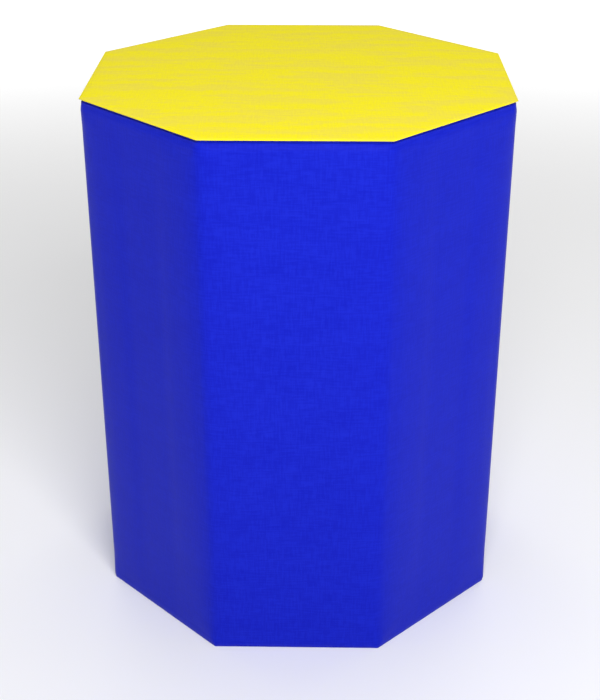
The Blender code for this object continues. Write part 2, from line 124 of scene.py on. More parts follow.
# Where the photograph was taken from, fitted to the corners of the mat: angles in radians, and a focal
# length of 1364.43 pixels in a frame 700 pixels high
CAMERA_PLACE = (0.0380, -1.9373, 1.3356)
CAMERA_YAW, CAMERA_PITCH, CAMERA_ROLL = -0.0196, 0.4689, -0.0010
CAMERA_SENSOR = 36
CAMERA_LENS = 1364.43 * CAMERA_SENSOR / 700


def linear(colour):
    """An sRGB hex colour as linear RGB."""
    parts = [int(colour[i:i + 2], 16) / 255 for i in (0, 2, 4)]
    return tuple(c / 12.92 if c <= 0.04045 else ((c + 0.055) / 1.055) ** 2.4 for c in parts)


def ease(share):
    """A smooth step from 0 to 1."""
    share = min(max(share, 0.0), 1.0)
    return share * share * (3 - 2 * share)


def length(name, description, default):
    return FloatProperty(name=name, description=description, default=default, unit="LENGTH", precision=5)


def power(name, description, default):
    return FloatProperty(name=name, description=description, default=default, unit="POWER")


def colour(name, description, default):
    return FloatVectorProperty(
        name=name, description=description, default=linear(default), subtype="COLOR", min=0, max=1
    )


class CoverSettings(bpy.types.PropertyGroup):
    """The coated cloth cover."""

    cloth: length("Cloth", "Thickness of the coated cloth", 0.8 * MM)
    allowance: length("Seam allowance", "Cloth turned in at each end seam", 12 * MM)
    draw_in: length("Draw-in", "How far the wrap is drawn in under an end seam", 2.2 * MM)
    corner: length("Corner radius", "Rounding of the upright corners between the ends", CORNER)
    shoulder: length("Shoulder", "Height over which the corners sharpen towards a seam", SHOULDER)
    welt: length("Zip welt", "How far the cloth folded back along the zip stands proud", 0.5 * MM)
    blue: colour("Blue", "Colour of the wrap", "0817AE")
    blue_pale: colour("Pale blue", "Where the blue coating is thinner", "1020B9")
    yellow: colour("Yellow", "Colour of the ends", "F3E500")
    yellow_pale: colour("Pale yellow", "Where the yellow coating is thinner", "EAD944")


class ZipSettings(bpy.types.PropertyGroup):
    """The zip and its thread."""

    pitch: length("Tooth pitch", "Distance from one tooth to the next in a row", 5 * MM)
    tooth: length("Tooth height", "How much of the pitch a tooth takes", 2.2 * MM)
    stitch: length("Stitch", "Distance from one stitch to the next", 4.5 * MM)
    thread: length("Thread", "Diameter of the sewing thread", 0.7 * MM)
    tape_black: colour("Tape", "Colour of the woven tape", "1B1B1E")
    teeth_black: colour("Teeth", "Colour of the moulded teeth", "161617")
    thread_blue: colour("Thread colour", "Colour of the sewing thread", "3540C4")


class CoreSettings(bpy.types.PropertyGroup):
    """The foam core and its slip liner."""

    end_inset: length("End inset", "Room beside the seam allowances at the ends", 8.0 * MM)
    cream: colour("Foam", "Colour of the foam", "E3DEC6")
    white: colour("Liner", "Colour of the liner", "E9E9E4")


class StageSettings(bpy.types.PropertyGroup):
    """The floor, the lights and the camera."""

    floor: colour("Floor", "Colour of the floor", "FAFAFA")
    sky: FloatProperty(name="Sky", description="Strength of the even light from all round", default=0.28)
    key: power("Key", "Power of the soft light in front", 91.0)
    overhead: power("Overhead", "Power of the wide light above the floor behind", 190.0)


def feed(tree, node, inputs):
    """Set a node's inputs, or link those that are given as another node's output."""
    for name, value in inputs.items():
        if isinstance(value, bpy.types.NodeSocket):
            tree.links.new(value, node.inputs[name])
        else:
            node.inputs[name].default_value = value


def add(tree, kind, settings=None, inputs=None):
    """Add a node to a tree, set its properties, and set or link its inputs, by name or number."""
    made = tree.nodes.new(kind)
    for name, value in (settings or {}).items():
        setattr(made, name, value)
    feed(tree, made, inputs or {})
    return made


def tint(colour, share=1.0):
    """A share of a colour, with its alpha."""
    return (*[min(c * share, 1) for c in colour], 1)


def start_material(name):
    """An empty node material: (material, tree, its Principled shader, its texture coordinates)."""
    made = bpy.data.materials.new(name)
    made.use_nodes = True
    tree = made.node_tree
    tree.nodes.clear()
    shader = add(tree, "ShaderNodeBsdfPrincipled")
    add(tree, "ShaderNodeOutputMaterial", inputs={"Surface": shader.outputs["BSDF"]})
    return made, tree, shader, add(tree, "ShaderNodeTexCoord")


def bands(period):
    """The Scale that gives a Wave texture this period in metres."""
    return 2 * pi / 20 / period


def coated_cloth(name, deep, pale, shine, cloud):
    """PVC-coated polyester: a plain weave calendered between two films of soft PVC.

    The threads show through the film as a fine canvas grain, and the film's gloss breaks up on it.
    """
    made, tree, shader, coords = start_material(name)
    metres = add(tree, "ShaderNodeMapping", inputs={
        "Vector": coords.outputs["UV"], "Scale": (CLOTH_SPAN, CLOTH_SPAN, CLOTH_SPAN),
    }).outputs["Vector"]
    # Threads 1.3 mm apart both ways
    warp, weft = [add(tree, "ShaderNodeTexWave", {"bands_direction": way}, {
        "Vector": metres, "Scale": bands(1.3 * MM), "Distortion": 0.6, "Detail": 1.0, "Detail Scale": 0.3,
    }).outputs["Fac"] for way in "XY"]
    weave = add(tree, "ShaderNodeMath", {"operation": "MULTIPLY"}, {0: warp, 1: weft})
    # Slubs both ways: thicker threads here and there, about 25 mm long, drawn 2.5 mm wide so that they
    # show. Clouds: film drawn out as it was rolled on, in streaks about 120 mm long and 30 mm wide
    uneven_film = []
    for per_metre, detail, rough, distortion in (
        ((40, 400, 1), 3.0, 0.6, 0.0), ((400, 40, 1), 3.0, 0.6, 0.0), ((8, 34, 1), 5.0, 0.62, 0.3),
    ):
        drawn_out = add(tree, "ShaderNodeMapping", inputs={"Vector": metres, "Scale": per_metre})
        uneven_film.append(add(tree, "ShaderNodeTexNoise", inputs={
            "Vector": drawn_out.outputs["Vector"], "Scale": 1.0,
            "Detail": detail, "Roughness": rough, "Distortion": distortion,
        }).outputs["Fac"])
    slubs, uprights, clouds = uneven_film
    lines = add(tree, "ShaderNodeMath", {"operation": "ADD"}, {0: slubs, 1: uprights}).outputs["Value"]
    cloudy = add(tree, "ShaderNodeMapRange", {"interpolation_type": "SMOOTHSTEP"}, {
        "Value": clouds, "From Min": 0.42, "From Max": 0.6, "To Max": cloud,
    })
    threads = add(tree, "ShaderNodeMapRange", inputs={
        "Value": lines, "From Min": 0.88, "From Max": 1.14, "To Min": 0.0, "To Max": 1 - cloud,
    })
    both = add(tree, "ShaderNodeMath", {"operation": "ADD", "use_clamp": True}, {
        0: cloudy.outputs["Result"], 1: threads.outputs["Result"],
    })
    mixed = add(tree, "ShaderNodeMix", {"data_type": "RGBA"}, {
        "Factor": both.outputs["Value"], "A": tint(deep), "B": tint(pale),
    })
    rough = add(tree, "ShaderNodeMapRange", inputs={
        "Value": lines, "From Min": 0.7, "From Max": 1.3, "To Min": shine, "To Max": shine + 0.1,
    })
    grain = add(tree, "ShaderNodeBump", inputs={
        "Height": weave.outputs["Value"], "Strength": 0.6, "Distance": 0.12 * MM,
    })
    slub = add(tree, "ShaderNodeBump", inputs={
        "Height": lines, "Strength": 0.5, "Distance": 0.2 * MM, "Normal": grain.outputs["Normal"],
    })
    # The film is embossed, which dulls its gloss
    feed(tree, shader, {
        "Base Color": mixed.outputs["Result"], "Roughness": rough.outputs["Result"],
        "Normal": slub.outputs["Normal"], "IOR": 1.53, "Specular IOR Level": 0.075,
    })
    return made


def woven_tape(name, black):
    """Woven polyester zip tape: a matt herringbone of fine black yarn, with warp lines along it."""
    made, tree, shader, coords = start_material(name)
    turned = add(tree, "ShaderNodeMapping", inputs={
        "Vector": coords.outputs["Object"], "Rotation": (0, radians(38), 0),
    })
    # Twill lines 0.9 mm apart
    twill = add(tree, "ShaderNodeTexWave", {"bands_direction": "X"}, {
        "Vector": turned.outputs["Vector"], "Scale": bands(0.9 * MM), "Distortion": 0.5, "Detail": 1.0,
    })
    warp = add(tree, "ShaderNodeTexWave", {"bands_direction": "X"}, {
        "Vector": coords.outputs["Object"], "Scale": bands(2.2 * MM), "Distortion": 0.2,
    })
    yarn = add(tree, "ShaderNodeMath", {"operation": "MULTIPLY"}, {
        0: twill.outputs["Fac"], 1: warp.outputs["Fac"],
    }).outputs["Value"]
    mixed = add(tree, "ShaderNodeMix", {"data_type": "RGBA"}, {
        "Factor": yarn, "A": tint(black, 0.5), "B": tint(black, 2.2),
    })
    raised = add(tree, "ShaderNodeBump", inputs={"Height": yarn, "Strength": 0.7, "Distance": 0.15 * MM})
    feed(tree, shader, {
        "Base Color": mixed.outputs["Result"], "Normal": raised.outputs["Normal"],
        "Roughness": 0.85, "Sheen Weight": 0.25,
    })
    return made


def moulded_acetal(name, black):
    """Acetal teeth, injection moulded onto the tape: satin black with a faint moulding grain."""
    made, tree, shader, coords = start_material(name)
    # Grain of about 0.4 mm
    grain = add(tree, "ShaderNodeTexNoise", inputs={
        "Vector": coords.outputs["Object"], "Scale": 2500.0, "Detail": 3.0,
    }).outputs["Fac"]
    mixed = add(tree, "ShaderNodeMix", {"data_type": "RGBA"}, {
        "Factor": grain, "A": tint(black, 0.7), "B": tint(black, 1.5),
    })
    rough = add(tree, "ShaderNodeMapRange", inputs={"Value": grain, "To Min": 0.3, "To Max": 0.48})
    raised = add(tree, "ShaderNodeBump", inputs={"Height": grain, "Strength": 0.15, "Distance": 0.05 * MM})
    feed(tree, shader, {
        "Base Color": mixed.outputs["Result"], "Roughness": rough.outputs["Result"],
        "Normal": raised.outputs["Normal"], "IOR": 1.48,
    })
    return made


def plated_zinc(name):
    """Die-cast zinc, tumbled and nickel plated: bright warm grey, slightly uneven, duller in places."""
    made, tree, shader, coords = start_material(name)
    # Casting ripple of 1.5 mm and handling haze of 6 mm
    ripple = add(tree, "ShaderNodeTexNoise", inputs={
        "Vector": coords.outputs["Object"], "Scale": 650.0, "Detail": 2.0,
    })
    haze = add(tree, "ShaderNodeTexNoise", inputs={
        "Vector": coords.outputs["Object"], "Scale": 160.0, "Detail": 4.0,
    }).outputs["Fac"]
    mixed = add(tree, "ShaderNodeMix", {"data_type": "RGBA"}, {
        "Factor": haze, "A": tint(linear("B9B3A6")), "B": tint(linear("D9D6CE")),
    })
    rough = add(tree, "ShaderNodeMapRange", inputs={
        "Value": haze, "From Min": 0.3, "From Max": 0.7, "To Min": 0.18, "To Max": 0.34,
    })
    raised = add(tree, "ShaderNodeBump", inputs={
        "Height": ripple.outputs["Fac"], "Strength": 0.2, "Distance": 0.08 * MM,
    })
    feed(tree, shader, {
        "Base Color": mixed.outputs["Result"], "Roughness": rough.outputs["Result"],
        "Normal": raised.outputs["Normal"], "Metallic": 1.0,
    })
    return made


def stamped_brass(name):
    """Brass eyelets, stamped and lacquered: warm yellow metal with fine rings and a little tarnish."""
    made, tree, shader, coords = start_material(name)
    # Tarnish spots of about 3 mm
    tarnish = add(tree, "ShaderNodeTexNoise", inputs={
        "Vector": coords.outputs["Object"], "Scale": 330.0, "Detail": 5.0, "Roughness": 0.6,
    }).outputs["Fac"]
    mixed = add(tree, "ShaderNodeMix", {"data_type": "RGBA"}, {
        "Factor": tarnish, "A": tint(linear("E3C173")), "B": tint(linear("CDA55C")),
    })
    rough = add(tree, "ShaderNodeMapRange", inputs={
        "Value": tarnish, "From Min": 0.35, "From Max": 0.65, "To Min": 0.2, "To Max": 0.4,
    })
    raised = add(tree, "ShaderNodeBump", inputs={"Height": tarnish, "Strength": 0.15, "Distance": 0.05 * MM})
    feed(tree, shader, {
        "Base Color": mixed.outputs["Result"], "Roughness": rough.outputs["Result"],
        "Normal": raised.outputs["Normal"], "Metallic": 1.0,
    })
    return made


def bonded_thread(name, blue):
    """Bonded polyester thread: three twisted plies under a slightly glossy bond."""
    made, tree, shader, coords = start_material(name)
    turned = add(tree, "ShaderNodeMapping", inputs={
        "Vector": coords.outputs["Object"], "Rotation": (0, radians(35), 0),
    })
    # Plies 0.5 mm apart
    plies = add(tree, "ShaderNodeTexWave", {"bands_direction": "Z"}, {
        "Vector": turned.outputs["Vector"], "Scale": bands(0.5 * MM), "Distortion": 0.4,
    }).outputs["Fac"]
    mixed = add(tree, "ShaderNodeMix", {"data_type": "RGBA"}, {
        "Factor": plies, "A": tint(blue, 0.6), "B": tint(blue, 1.3),
    })
    raised = add(tree, "ShaderNodeBump", inputs={"Height": plies, "Strength": 0.8, "Distance": 0.1 * MM})
    feed(tree, shader, {
        "Base Color": mixed.outputs["Result"], "Normal": raised.outputs["Normal"], "Roughness": 0.45,
    })
    return made


def spunbond_fleece(name, white):
    """Spunbond polypropylene: loose white filaments, pressed together at small points in rows."""
    made, tree, shader, coords = start_material(name)
    # Bond points every 2 mm
    points = add(tree, "ShaderNodeTexVoronoi", {"feature": "F1", "distance": "EUCLIDEAN"}, {
        "Vector": coords.outputs["Object"], "Scale": 500.0, "Randomness": 0.25,
    })
    fibres = add(tree, "ShaderNodeTexNoise", inputs={
        "Vector": coords.outputs["Object"], "Scale": 900.0, "Detail": 6.0, "Distortion": 1.5,
    })
    height = add(tree, "ShaderNodeMath", {"operation": "MULTIPLY"}, {
        0: points.outputs["Distance"], 1: fibres.outputs["Fac"],
    }).outputs["Value"]
    mixed = add(tree, "ShaderNodeMix", {"data_type": "RGBA"}, {
        "Factor": height, "A": tint(white, 0.82), "B": tint(white),
    })
    raised = add(tree, "ShaderNodeBump", inputs={"Height": height, "Strength": 0.6, "Distance": 0.3 * MM})
    feed(tree, shader, {
        "Base Color": mixed.outputs["Result"], "Normal": raised.outputs["Normal"],
        "Roughness": 0.9, "Sheen Weight": 0.3,
    })
    return made


def cut_foam(name, cream):
    """Polyether foam, wire cut: open cells that leave a matt face full of small pits, slightly yellowed, with
    painted shade darkening each cell towards its middle.
    """
    made, tree, shader, coords = start_material(name)
    # Cells of 1.5 mm, and yellowing in patches of 80 mm
    cells = add(tree, "ShaderNodeTexVoronoi", {"feature": "F1"}, {
        "Vector": coords.outputs["Object"], "Scale": 650.0,
    }).outputs["Distance"]
    patches = add(tree, "ShaderNodeTexNoise", inputs={
        "Vector": coords.outputs["Object"], "Scale": 12.0, "Detail": 4.0,
    })
    yellowed = [c * share for c, share in zip(cream, (0.95, 0.88, 0.7))]
    aged = add(tree, "ShaderNodeMix", {"data_type": "RGBA"}, {
        "Factor": patches.outputs["Fac"], "A": tint(cream), "B": tint(yellowed),
    })
    # Painted shade in the pits: each cell's colour falls to half towards its middle
    painted_pit_shade = add(tree, "ShaderNodeMix", {"data_type": "RGBA", "blend_type": "MULTIPLY"}, {
        "Factor": 0.5, "A": aged.outputs["Result"], "B": cells,
    })
    raised = add(tree, "ShaderNodeBump", {"invert": True}, {
        "Height": cells, "Strength": 0.9, "Distance": 0.5 * MM,
    })
    feed(tree, shader, {
        "Base Color": painted_pit_shade.outputs["Result"], "Normal": raised.outputs["Normal"], "Roughness": 0.95,
    })
    return made


def painted_floor(name, pale):
    """A rolled matt studio floor: even, pale, hardly any shine."""
    made, tree, shader, coords = start_material(name)
    # Roller marks about 0.3 m wide
    marks = add(tree, "ShaderNodeTexNoise", inputs={"Vector": coords.outputs["Object"], "Scale": 3.0})
    mixed = add(tree, "ShaderNodeMix", {"data_type": "RGBA"}, {
        "Factor": marks.outputs["Fac"], "A": tint(pale), "B": tint(pale, 0.99),
    })
    # From 1.5 m to 6 m off, the floor glows more and more, as if the studio's other lights reached it
    far = add(tree, "ShaderNodeVectorMath", {"operation": "LENGTH"}, {0: coords.outputs["Object"]})
    glow = add(tree, "ShaderNodeMapRange", {"interpolation_type": "SMOOTHSTEP"}, {
        "Value": far.outputs["Value"], "From Min": 1.5, "From Max": 6.0, "To Max": HORIZON,
    })
    feed(tree, shader, {
        "Base Color": mixed.outputs["Result"], "Emission Strength": glow.outputs["Result"],
        "Emission Color": (1, 1, 1, 1), "Roughness": 0.9, "Specular IOR Level": 0.1,
    })
    return made


def finish(name):
    """The material of that name, made the first time it is asked for."""
    found = bpy.data.materials.get(name)
    if found:
        return found
    scene = bpy.context.scene
    cover, zipper, core = scene.mat_cover, scene.mat_zip, scene.mat_core
    makers = {
        "coated_pvc_blue": lambda: coated_cloth(name, cover.blue, cover.blue_pale, 0.38, 0.2),
        "coated_pvc_yellow": lambda: coated_cloth(name, cover.yellow, cover.yellow_pale, 0.6, 0.6),
        "woven_polyester_black": lambda: woven_tape(name, zipper.tape_black),
        "moulded_acetal_black": lambda: moulded_acetal(name, zipper.teeth_black),
        "plated_zinc": lambda: plated_zinc(name),
        "stamped_brass": lambda: stamped_brass(name),
        "bonded_thread_blue": lambda: bonded_thread(name, zipper.thread_blue),
        "spunbond_fleece_white": lambda: spunbond_fleece(name, core.white),
        "cut_foam_cream": lambda: cut_foam(name, core.cream),
        "painted_floor": lambda: painted_floor(name, scene.mat_stage.floor),
    }
    return makers[name]()


def make_object(name, made, material, sharp=40):
    """Turn a bmesh into a smooth-shaded object at the origin."""
    mesh = bpy.data.meshes.new(name)
    made.to_mesh(mesh)
    made.free()
    mesh.materials.append(finish(material))
    mesh.shade_smooth()
    mesh.set_sharp_from_angle(angle=radians(sharp))
    piece = bpy.data.objects.new(name, mesh)
    bpy.context.scene.collection.objects.link(piece)
    return piece


def fit_piece(piece, body, slot, *nodes):
    """Let a finished piece ride on its body and stand for its CAD nodes."""
    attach(piece, body)
    if nodes:
        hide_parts(*nodes)
    return piece


def thicken(piece, thickness):
    """Give a sheet its thickness, half to each side."""
    step = piece.modifiers.new("cloth_thickness", "SOLIDIFY")
    step.thickness = thickness
    step.offset = 0
    step.use_even_offset = True


def steps(*marks):
    """Points from mark to mark: each mark after the first is (end, number of steps)."""
    found = [marks[0]]
    for end, count in marks[1:]:
        start = found[-1]
        found += [start + (end - start) * i / count for i in range(1, count + 1)]
    return found


def corner_radius(cover, z):
    """How round the upright corners are at a height: nearly sharp at the seams."""
    depth = max(min(z, HEIGHT - z) - WRAP_LOW, 0.0)
    at_seam, at_allowance = 6 * MM, cover.corner * 0.69
    if depth < cover.allowance:
        return at_seam + (at_allowance - at_seam) * depth / cover.allowance
    share = (depth - cover.allowance) / (cover.shoulder - cover.allowance)
    return at_allowance + (cover.corner - at_allowance) * min(share, 1.0)


def on_octagon(along, inset, radius):
    """A point of the rounded octagon, and its outward direction. along is 0 at the middle of the zip face."""
    number = round(along / SIDE)
    offset = along - number * SIDE
    flat = (FACE - radius) * tan(TURN / 2)
    facing = pi / 2 + number * TURN
    turn = facing
    over = abs(offset) - flat
    if over > 0:
        turn += copysign(over / (SIDE / 2 - flat) * TURN / 2, offset)
        offset = copysign(flat, offset)
    normal = Vector((cos(turn), sin(turn), 0))
    middle = Vector((cos(facing), sin(facing), 0)) * (FACE - radius)
    across = Vector((-sin(facing), cos(facing), 0)) * offset
    return middle + across + normal * (radius - inset), normal


def cloth_grid(columns, rows, place, reach=None):
    """A cut of cloth as a grid, laid in place: place(column, row) gives a point, reach(row) its UV height."""
    made = bmesh.new()
    bmesh.ops.create_grid(made, x_segments=len(columns) - 1, y_segments=len(rows) - 1, size=0.5)
    uv = made.loops.layers.uv.new("cloth")
    spots = {}
    for vert in made.verts:
        column = columns[round((vert.co.x + 0.5) * (len(columns) - 1))]
        row = rows[round((vert.co.y + 0.5) * (len(rows) - 1))]
        spots[vert] = (column, row)
    for face in made.faces:
        for loop in face.loops:
            column, row = spots[loop.vert]
            loop[uv].uv = (column / CLOTH_SPAN + 0.001, (reach(row) if reach else row) / CLOTH_SPAN + 0.1)
    for vert, (column, row) in spots.items():
        vert.co = place(column, row)
    return made


def slot_distance(x, z):
    """How far a point of the zip face is from the zip opening."""
    return hypot(max(abs(x) - SLOT_HALF, 0.0), max(SLOT_LOW - z, z - SLOT_HIGH, 0.0))


def welt_rise(cover, x, z):
    """How far the cloth stands proud of the zip face, where it is folded back along the opening."""
    return cover.welt * (1 - ease((slot_distance(x, z) - WELT_EDGE) / WELT_FADE))


def wall_columns():
    """Distances round the wrap, closer at the corners, with columns for the opening and the vents."""
    flat = (FACE - CORNER) * tan(TURN / 2)
    corner = [SIDE / 2 - d * MM for d in (9.2, 6.0, 3.4, 1.4)]
    welt = SLOT_HALF + WELT_EDGE
    vent, ring = abs(VENTS[0].x), 6.5 * MM
    rear = steps(0, (SLOT_HALF, 3), (welt, 3), (welt + WELT_FADE, 3), (vent - ring, 6), (vent, 1))
    rear += steps(vent + ring, (flat, 2)) + corner
    face = steps(0, (flat, 12)) + corner
    half = rear + [SIDE - x for x in reversed([*face, SIDE / 2])]
    for number in range(1, 4):
        half += [number * SIDE + x for x in [*face[1:], SIDE / 2]]
        half += [(number + 1) * SIDE - x for x in reversed(face)]
    return half[:-1] + [SIDES * SIDE - x for x in reversed(half)]


def seam_profile(cover):
    """The wrap's cloth at the top seam: (inset, z) points.

    They run from its turned-in edge over the fold, and down into the groove where the thread pinches it.
    """
    fold = 0.45 * MM
    middle = cover.cloth / 2 + cover.draw_in + 1.1 * MM + PINCH
    centre = WRAP_HIGH - 1.2 * MM - fold
    rows = [(middle + fold, centre - cover.allowance + d * MM) for d in (0, 4, 8)]
    rows += [(middle + fold * cos(a), centre + fold * sin(a)) for a in (0, pi / 4, pi / 2, 3 * pi / 4, pi)]
    rows += [(middle - fold, centre - 1.6 * MM), (middle - fold - 0.15 * MM, centre - 2.1 * MM)]
    return rows + [(middle - fold - 0.45 * MM, centre - 2.6 * MM)]


def wall_inset(cover, z):
    """How far the middle of the cloth lies inside the mat's flat face at a height."""
    if z > HEIGHT / 2:
        draw_in, depth = cover.draw_in, WRAP_HIGH - GROOVE - z
    else:
        draw_in, depth = cover.draw_in / 2, z - WRAP_LOW
    return cover.cloth / 2 + draw_in * (1 - ease(depth / cover.allowance) ** 0.8)


def wall_rows(cover):
    """The wrap from its lower turned-in edge to its upper one: (inset, z, length of cloth so far) rows."""
    upper = seam_profile(cover)
    top = WRAP_HIGH - GROOVE
    levels = steps(SLOT_LOW, (VENTS[0].z, 4), (VENTS[2].z, 96), (SLOT_HIGH, 4))
    above = steps(SLOT_HIGH, (HEIGHT - SHOULDER, 2), (WRAP_HIGH - 13 * MM, 8), (top, 6))[1:]
    levels = [HEIGHT - z for z in reversed(above)] + levels + above
    # At the base the wrap comes down over the seam, almost to the floor
    rows = [(inset - cover.draw_in / 2 - PINCH, HEIGHT - z - BASE_LAP) for inset, z in upper]
    rows += [(wall_inset(cover, z), z) for z in levels]
    rows += reversed(upper)
    return with_run(rows)


def with_run(rows):
    """Points of a profile with the length of cloth up to each."""
    run, found = 0.0, []
    for i, row in enumerate(rows):
        if i:
            run += hypot(row[0] - rows[i - 1][0], row[1] - rows[i - 1][1])
        found.append((*row, run))
    return found


def make_wrap_mesh(cover):
    """The blue wall: one cut of cloth round all eight faces, turned in at both end seams."""

    def place(along, row):
        inset, z, _ = row
        point, normal = on_octagon(along, inset, max(corner_radius(cover, z), inset + MM))
        point.z = z
        if normal.y > REARWARD:
            point += normal * welt_rise(cover, point.x, z)
        return point

    made = cloth_grid(wall_columns(), wall_rows(cover), place, lambda row: row[2])
    bmesh.ops.remove_doubles(made, verts=made.verts, dist=WELD)
    open_slot(made)
    open_vents(made)
    return made


def grow_rim(made, rim, origin):
    """Extrude the open rim of a cloth: (its new rim, its new points, its new faces).

    origin says where on the first rim each point started, and takes up the new points.
    """
    grown = bmesh.ops.extrude_edge_only(made, edges=rim)["geom"]
    fresh = {g for g in grown if isinstance(g, bmesh.types.BMVert)}
    for vert in fresh:
        near = [e.other_vert(vert) for e in vert.link_edges]
        origin[vert] = next(origin[v] for v in near if v in origin and v not in fresh)
    rim = [g for g in grown if isinstance(g, bmesh.types.BMEdge) and all(v in fresh for v in g.verts)]
    return rim, fresh, [g for g in grown if isinstance(g, bmesh.types.BMFace)]


def open_slot(made):
    """Cut the zip opening, and fold the cloth's edges back inside."""
    cut = []
    for face in made.faces:
        middle = face.calc_center_median()
        if middle.y > 0 and slot_distance(middle.x, middle.z) == 0:
            cut.append(face)
    bmesh.ops.delete(made, geom=cut, context="FACES")
    rim = [e for e in made.edges if e.is_boundary and all(abs(v.co.x) < 2 * SLOT_HALF for v in e.verts)]
    rim = [e for e in rim if all(SLOT_LOW - MM < v.co.z < SLOT_HIGH + MM for v in e.verts)]
    origin = {v: v.co.copy() for e in rim for v in e.verts}
    uv = made.loops.layers.uv["cloth"]
    fold = 0.43 * MM
    path = [(-fold * sin(a), fold * (1 - cos(a))) for a in (pi / 4, pi / 2, 3 * pi / 4, pi)]
    for back, inward in [*path, (TURN_BACK, 2 * fold)]:
        rim, fresh, faces = grow_rim(made, rim, origin)
        for vert in fresh:
            start, away = origin[vert], Vector((0, 0, 0))
            if abs(abs(start.x) - SLOT_HALF) < NEAR:
                away.x = copysign(1, start.x)
            if min(abs(start.z - SLOT_LOW), abs(start.z - SLOT_HIGH)) < NEAR:
                away.z = copysign(1, start.z - HEIGHT / 2)
            vert.co = start + away * back + Vector((0, -inward, 0))
        for face in faces:
            for loop in face.loops:
                loop[uv].uv = (loop.vert.co.x / CLOTH_SPAN + 0.5, loop.vert.co.z / CLOTH_SPAN)


def open_vents(made):
    """Cut a hole for each vent: the point of the cloth there goes, and the ring round it is drawn in."""
    for centre in VENTS:
        middle = min(made.verts, key=lambda v: (v.co - centre).length)
        ring = {v for f in middle.link_faces for v in f.verts} - {middle}
        for vert in ring:
            away = Vector((vert.co.x - centre.x, 0, vert.co.z - centre.z)).normalized() * 4.6 * MM
            vert.co.x = centre.x + away.x
            vert.co.z = centre.z + away.z
        bmesh.ops.delete(made, geom=[middle], context="VERTS")


def settle(piece, held, cut, push, reach):
    """Let cloth find its own folds between its seams.

    It stays where held(co) is 1, was cut as cut(co) says, is pressed outwards by the foam, and moves
    no further than reach, or than SINK into the foam.
    """
    start = [v.co.copy() for v in piece.data.vertices]
    middle = Vector((0, 0, HEIGHT / 2))
    outward = [v.normal * copysign(1, v.normal.dot(v.co - middle)) for v in piece.data.vertices]
    group = piece.vertex_groups.new(name="held")
    for index, co in enumerate(start):
        weight = held(co)
        if weight > 0:
            group.add([index], weight, "REPLACE")
    piece.shape_key_add(name="sewn")
    flat = piece.shape_key_add(name="cut")
    for point, co in zip(flat.data, start):
        point.co = cut(co)
    step = piece.modifiers.new("settle", "CLOTH")
    cloth = step.settings
    for name, value in (
        ("quality", 5), ("mass", 0.2), ("tension_stiffness", 40), ("compression_stiffness", 20),
        ("shear_stiffness", 15), ("bending_stiffness", 0.3), ("air_damping", 3),
        ("vertex_group_mass", "held"), ("rest_shape_key", flat),
        ("use_pressure", True), ("uniform_pressure_force", push),
    ):
        setattr(cloth, name, value)
    cloth.effector_weights.gravity = 0
    step.collision_settings.use_collision = False
    step.collision_settings.use_self_collision = False
    step.point_cache.frame_start = 1
    step.point_cache.frame_end = SETTLE_FRAMES
    scene = bpy.context.scene
    for number in range(1, SETTLE_FRAMES + 1):
        scene.frame_set(number)
    shaped = piece.evaluated_get(bpy.context.evaluated_depsgraph_get())
    moved = [v.co.copy() for v in shaped.data.vertices]
    piece.modifiers.remove(step)
    piece.shape_key_clear()
    piece.vertex_groups.clear()
    for vert, old, new, out in zip(piece.data.vertices, start, moved, outward):
        way = new - old
        way -= out * min(way.dot(out) + SINK, 0)
        if way.length > 0:
            way *= reach * tanh(way.length / reach) / way.length
        vert.co = old + way
    piece.data.update()
    scene.frame_set(1)


def uneven(co, size, seed=0.0):
    """A smooth random number from -1 to 1 that changes over about size."""
    return noise.noise(Vector((co.x / size, co.y / size + seed, co.z / size)))


def settle_wrap(piece):
    """The wall was sewn with a little ease at the end seams, so it puckers there."""
    high, low = WRAP_HIGH - GROOVE - NEAR, WRAP_LOW + GROOVE + NEAR

    # The end seams and all that is tucked in are held, and so is the cloth round the zip and the vents
    def held(co):
        if co.z > high or co.z < low or hypot(co.x, co.y) * cos(TURN / 2) < FACE - 20 * MM:
            return 1.0
        if co.y < FACE - 2 * MM:
            return 0.0
        near = min(hypot(co.x - v.x, co.z - v.z) for v in VENTS) - 8 * MM
        return 1 - ease(min(near, slot_distance(co.x, co.z) - 20 * MM) / (20 * MM))

    # About 1% of ease, in puckers some 70 mm apart that die out over 24 mm
    def cut(co):
        depth = min(co.z, HEIGHT - co.z)
        along = Vector((atan2(co.y, co.x) * FACE, 0, 0))
        extra = 0.010 + 0.024 * uneven(along, 70 * MM, 3.0)
        grown = 1 + max(extra, 0) * exp(-depth / (24 * MM))
        return Vector((co.x * grown, co.y * grown, co.z))

    settle(piece, held, cut, 0.15, 1.8 * MM)


def end_profile(cover, top):
    """The end panel's cloth from its flat face over the fold and down inside: (inset, depth) points.

    The top's edge stands out over the wrap, and the base's is tucked in under it.
    """
    half = cover.cloth / 2 / MM
    if top:
        leg = 5.0 + PINCH / MM
        path = [(0.9, half), (0.52, 0.55), (0.40, 0.85), (0.52, 1.15), (0.9, 1.3)]
        path += [(leg - 0.8, 1.3), (leg - 0.2, 1.6)]
    else:
        leg = 5.0
        path = [(6.2, half), (5.8, 0.46), (5.45, 0.65), (5.18, 0.95), (5.02, 1.3)]
    path += [(leg, 2.2), (leg, 7.0), (leg, 1.1 + cover.allowance / MM)]
    return with_run([(inset * MM, depth * MM) for inset, depth in path])


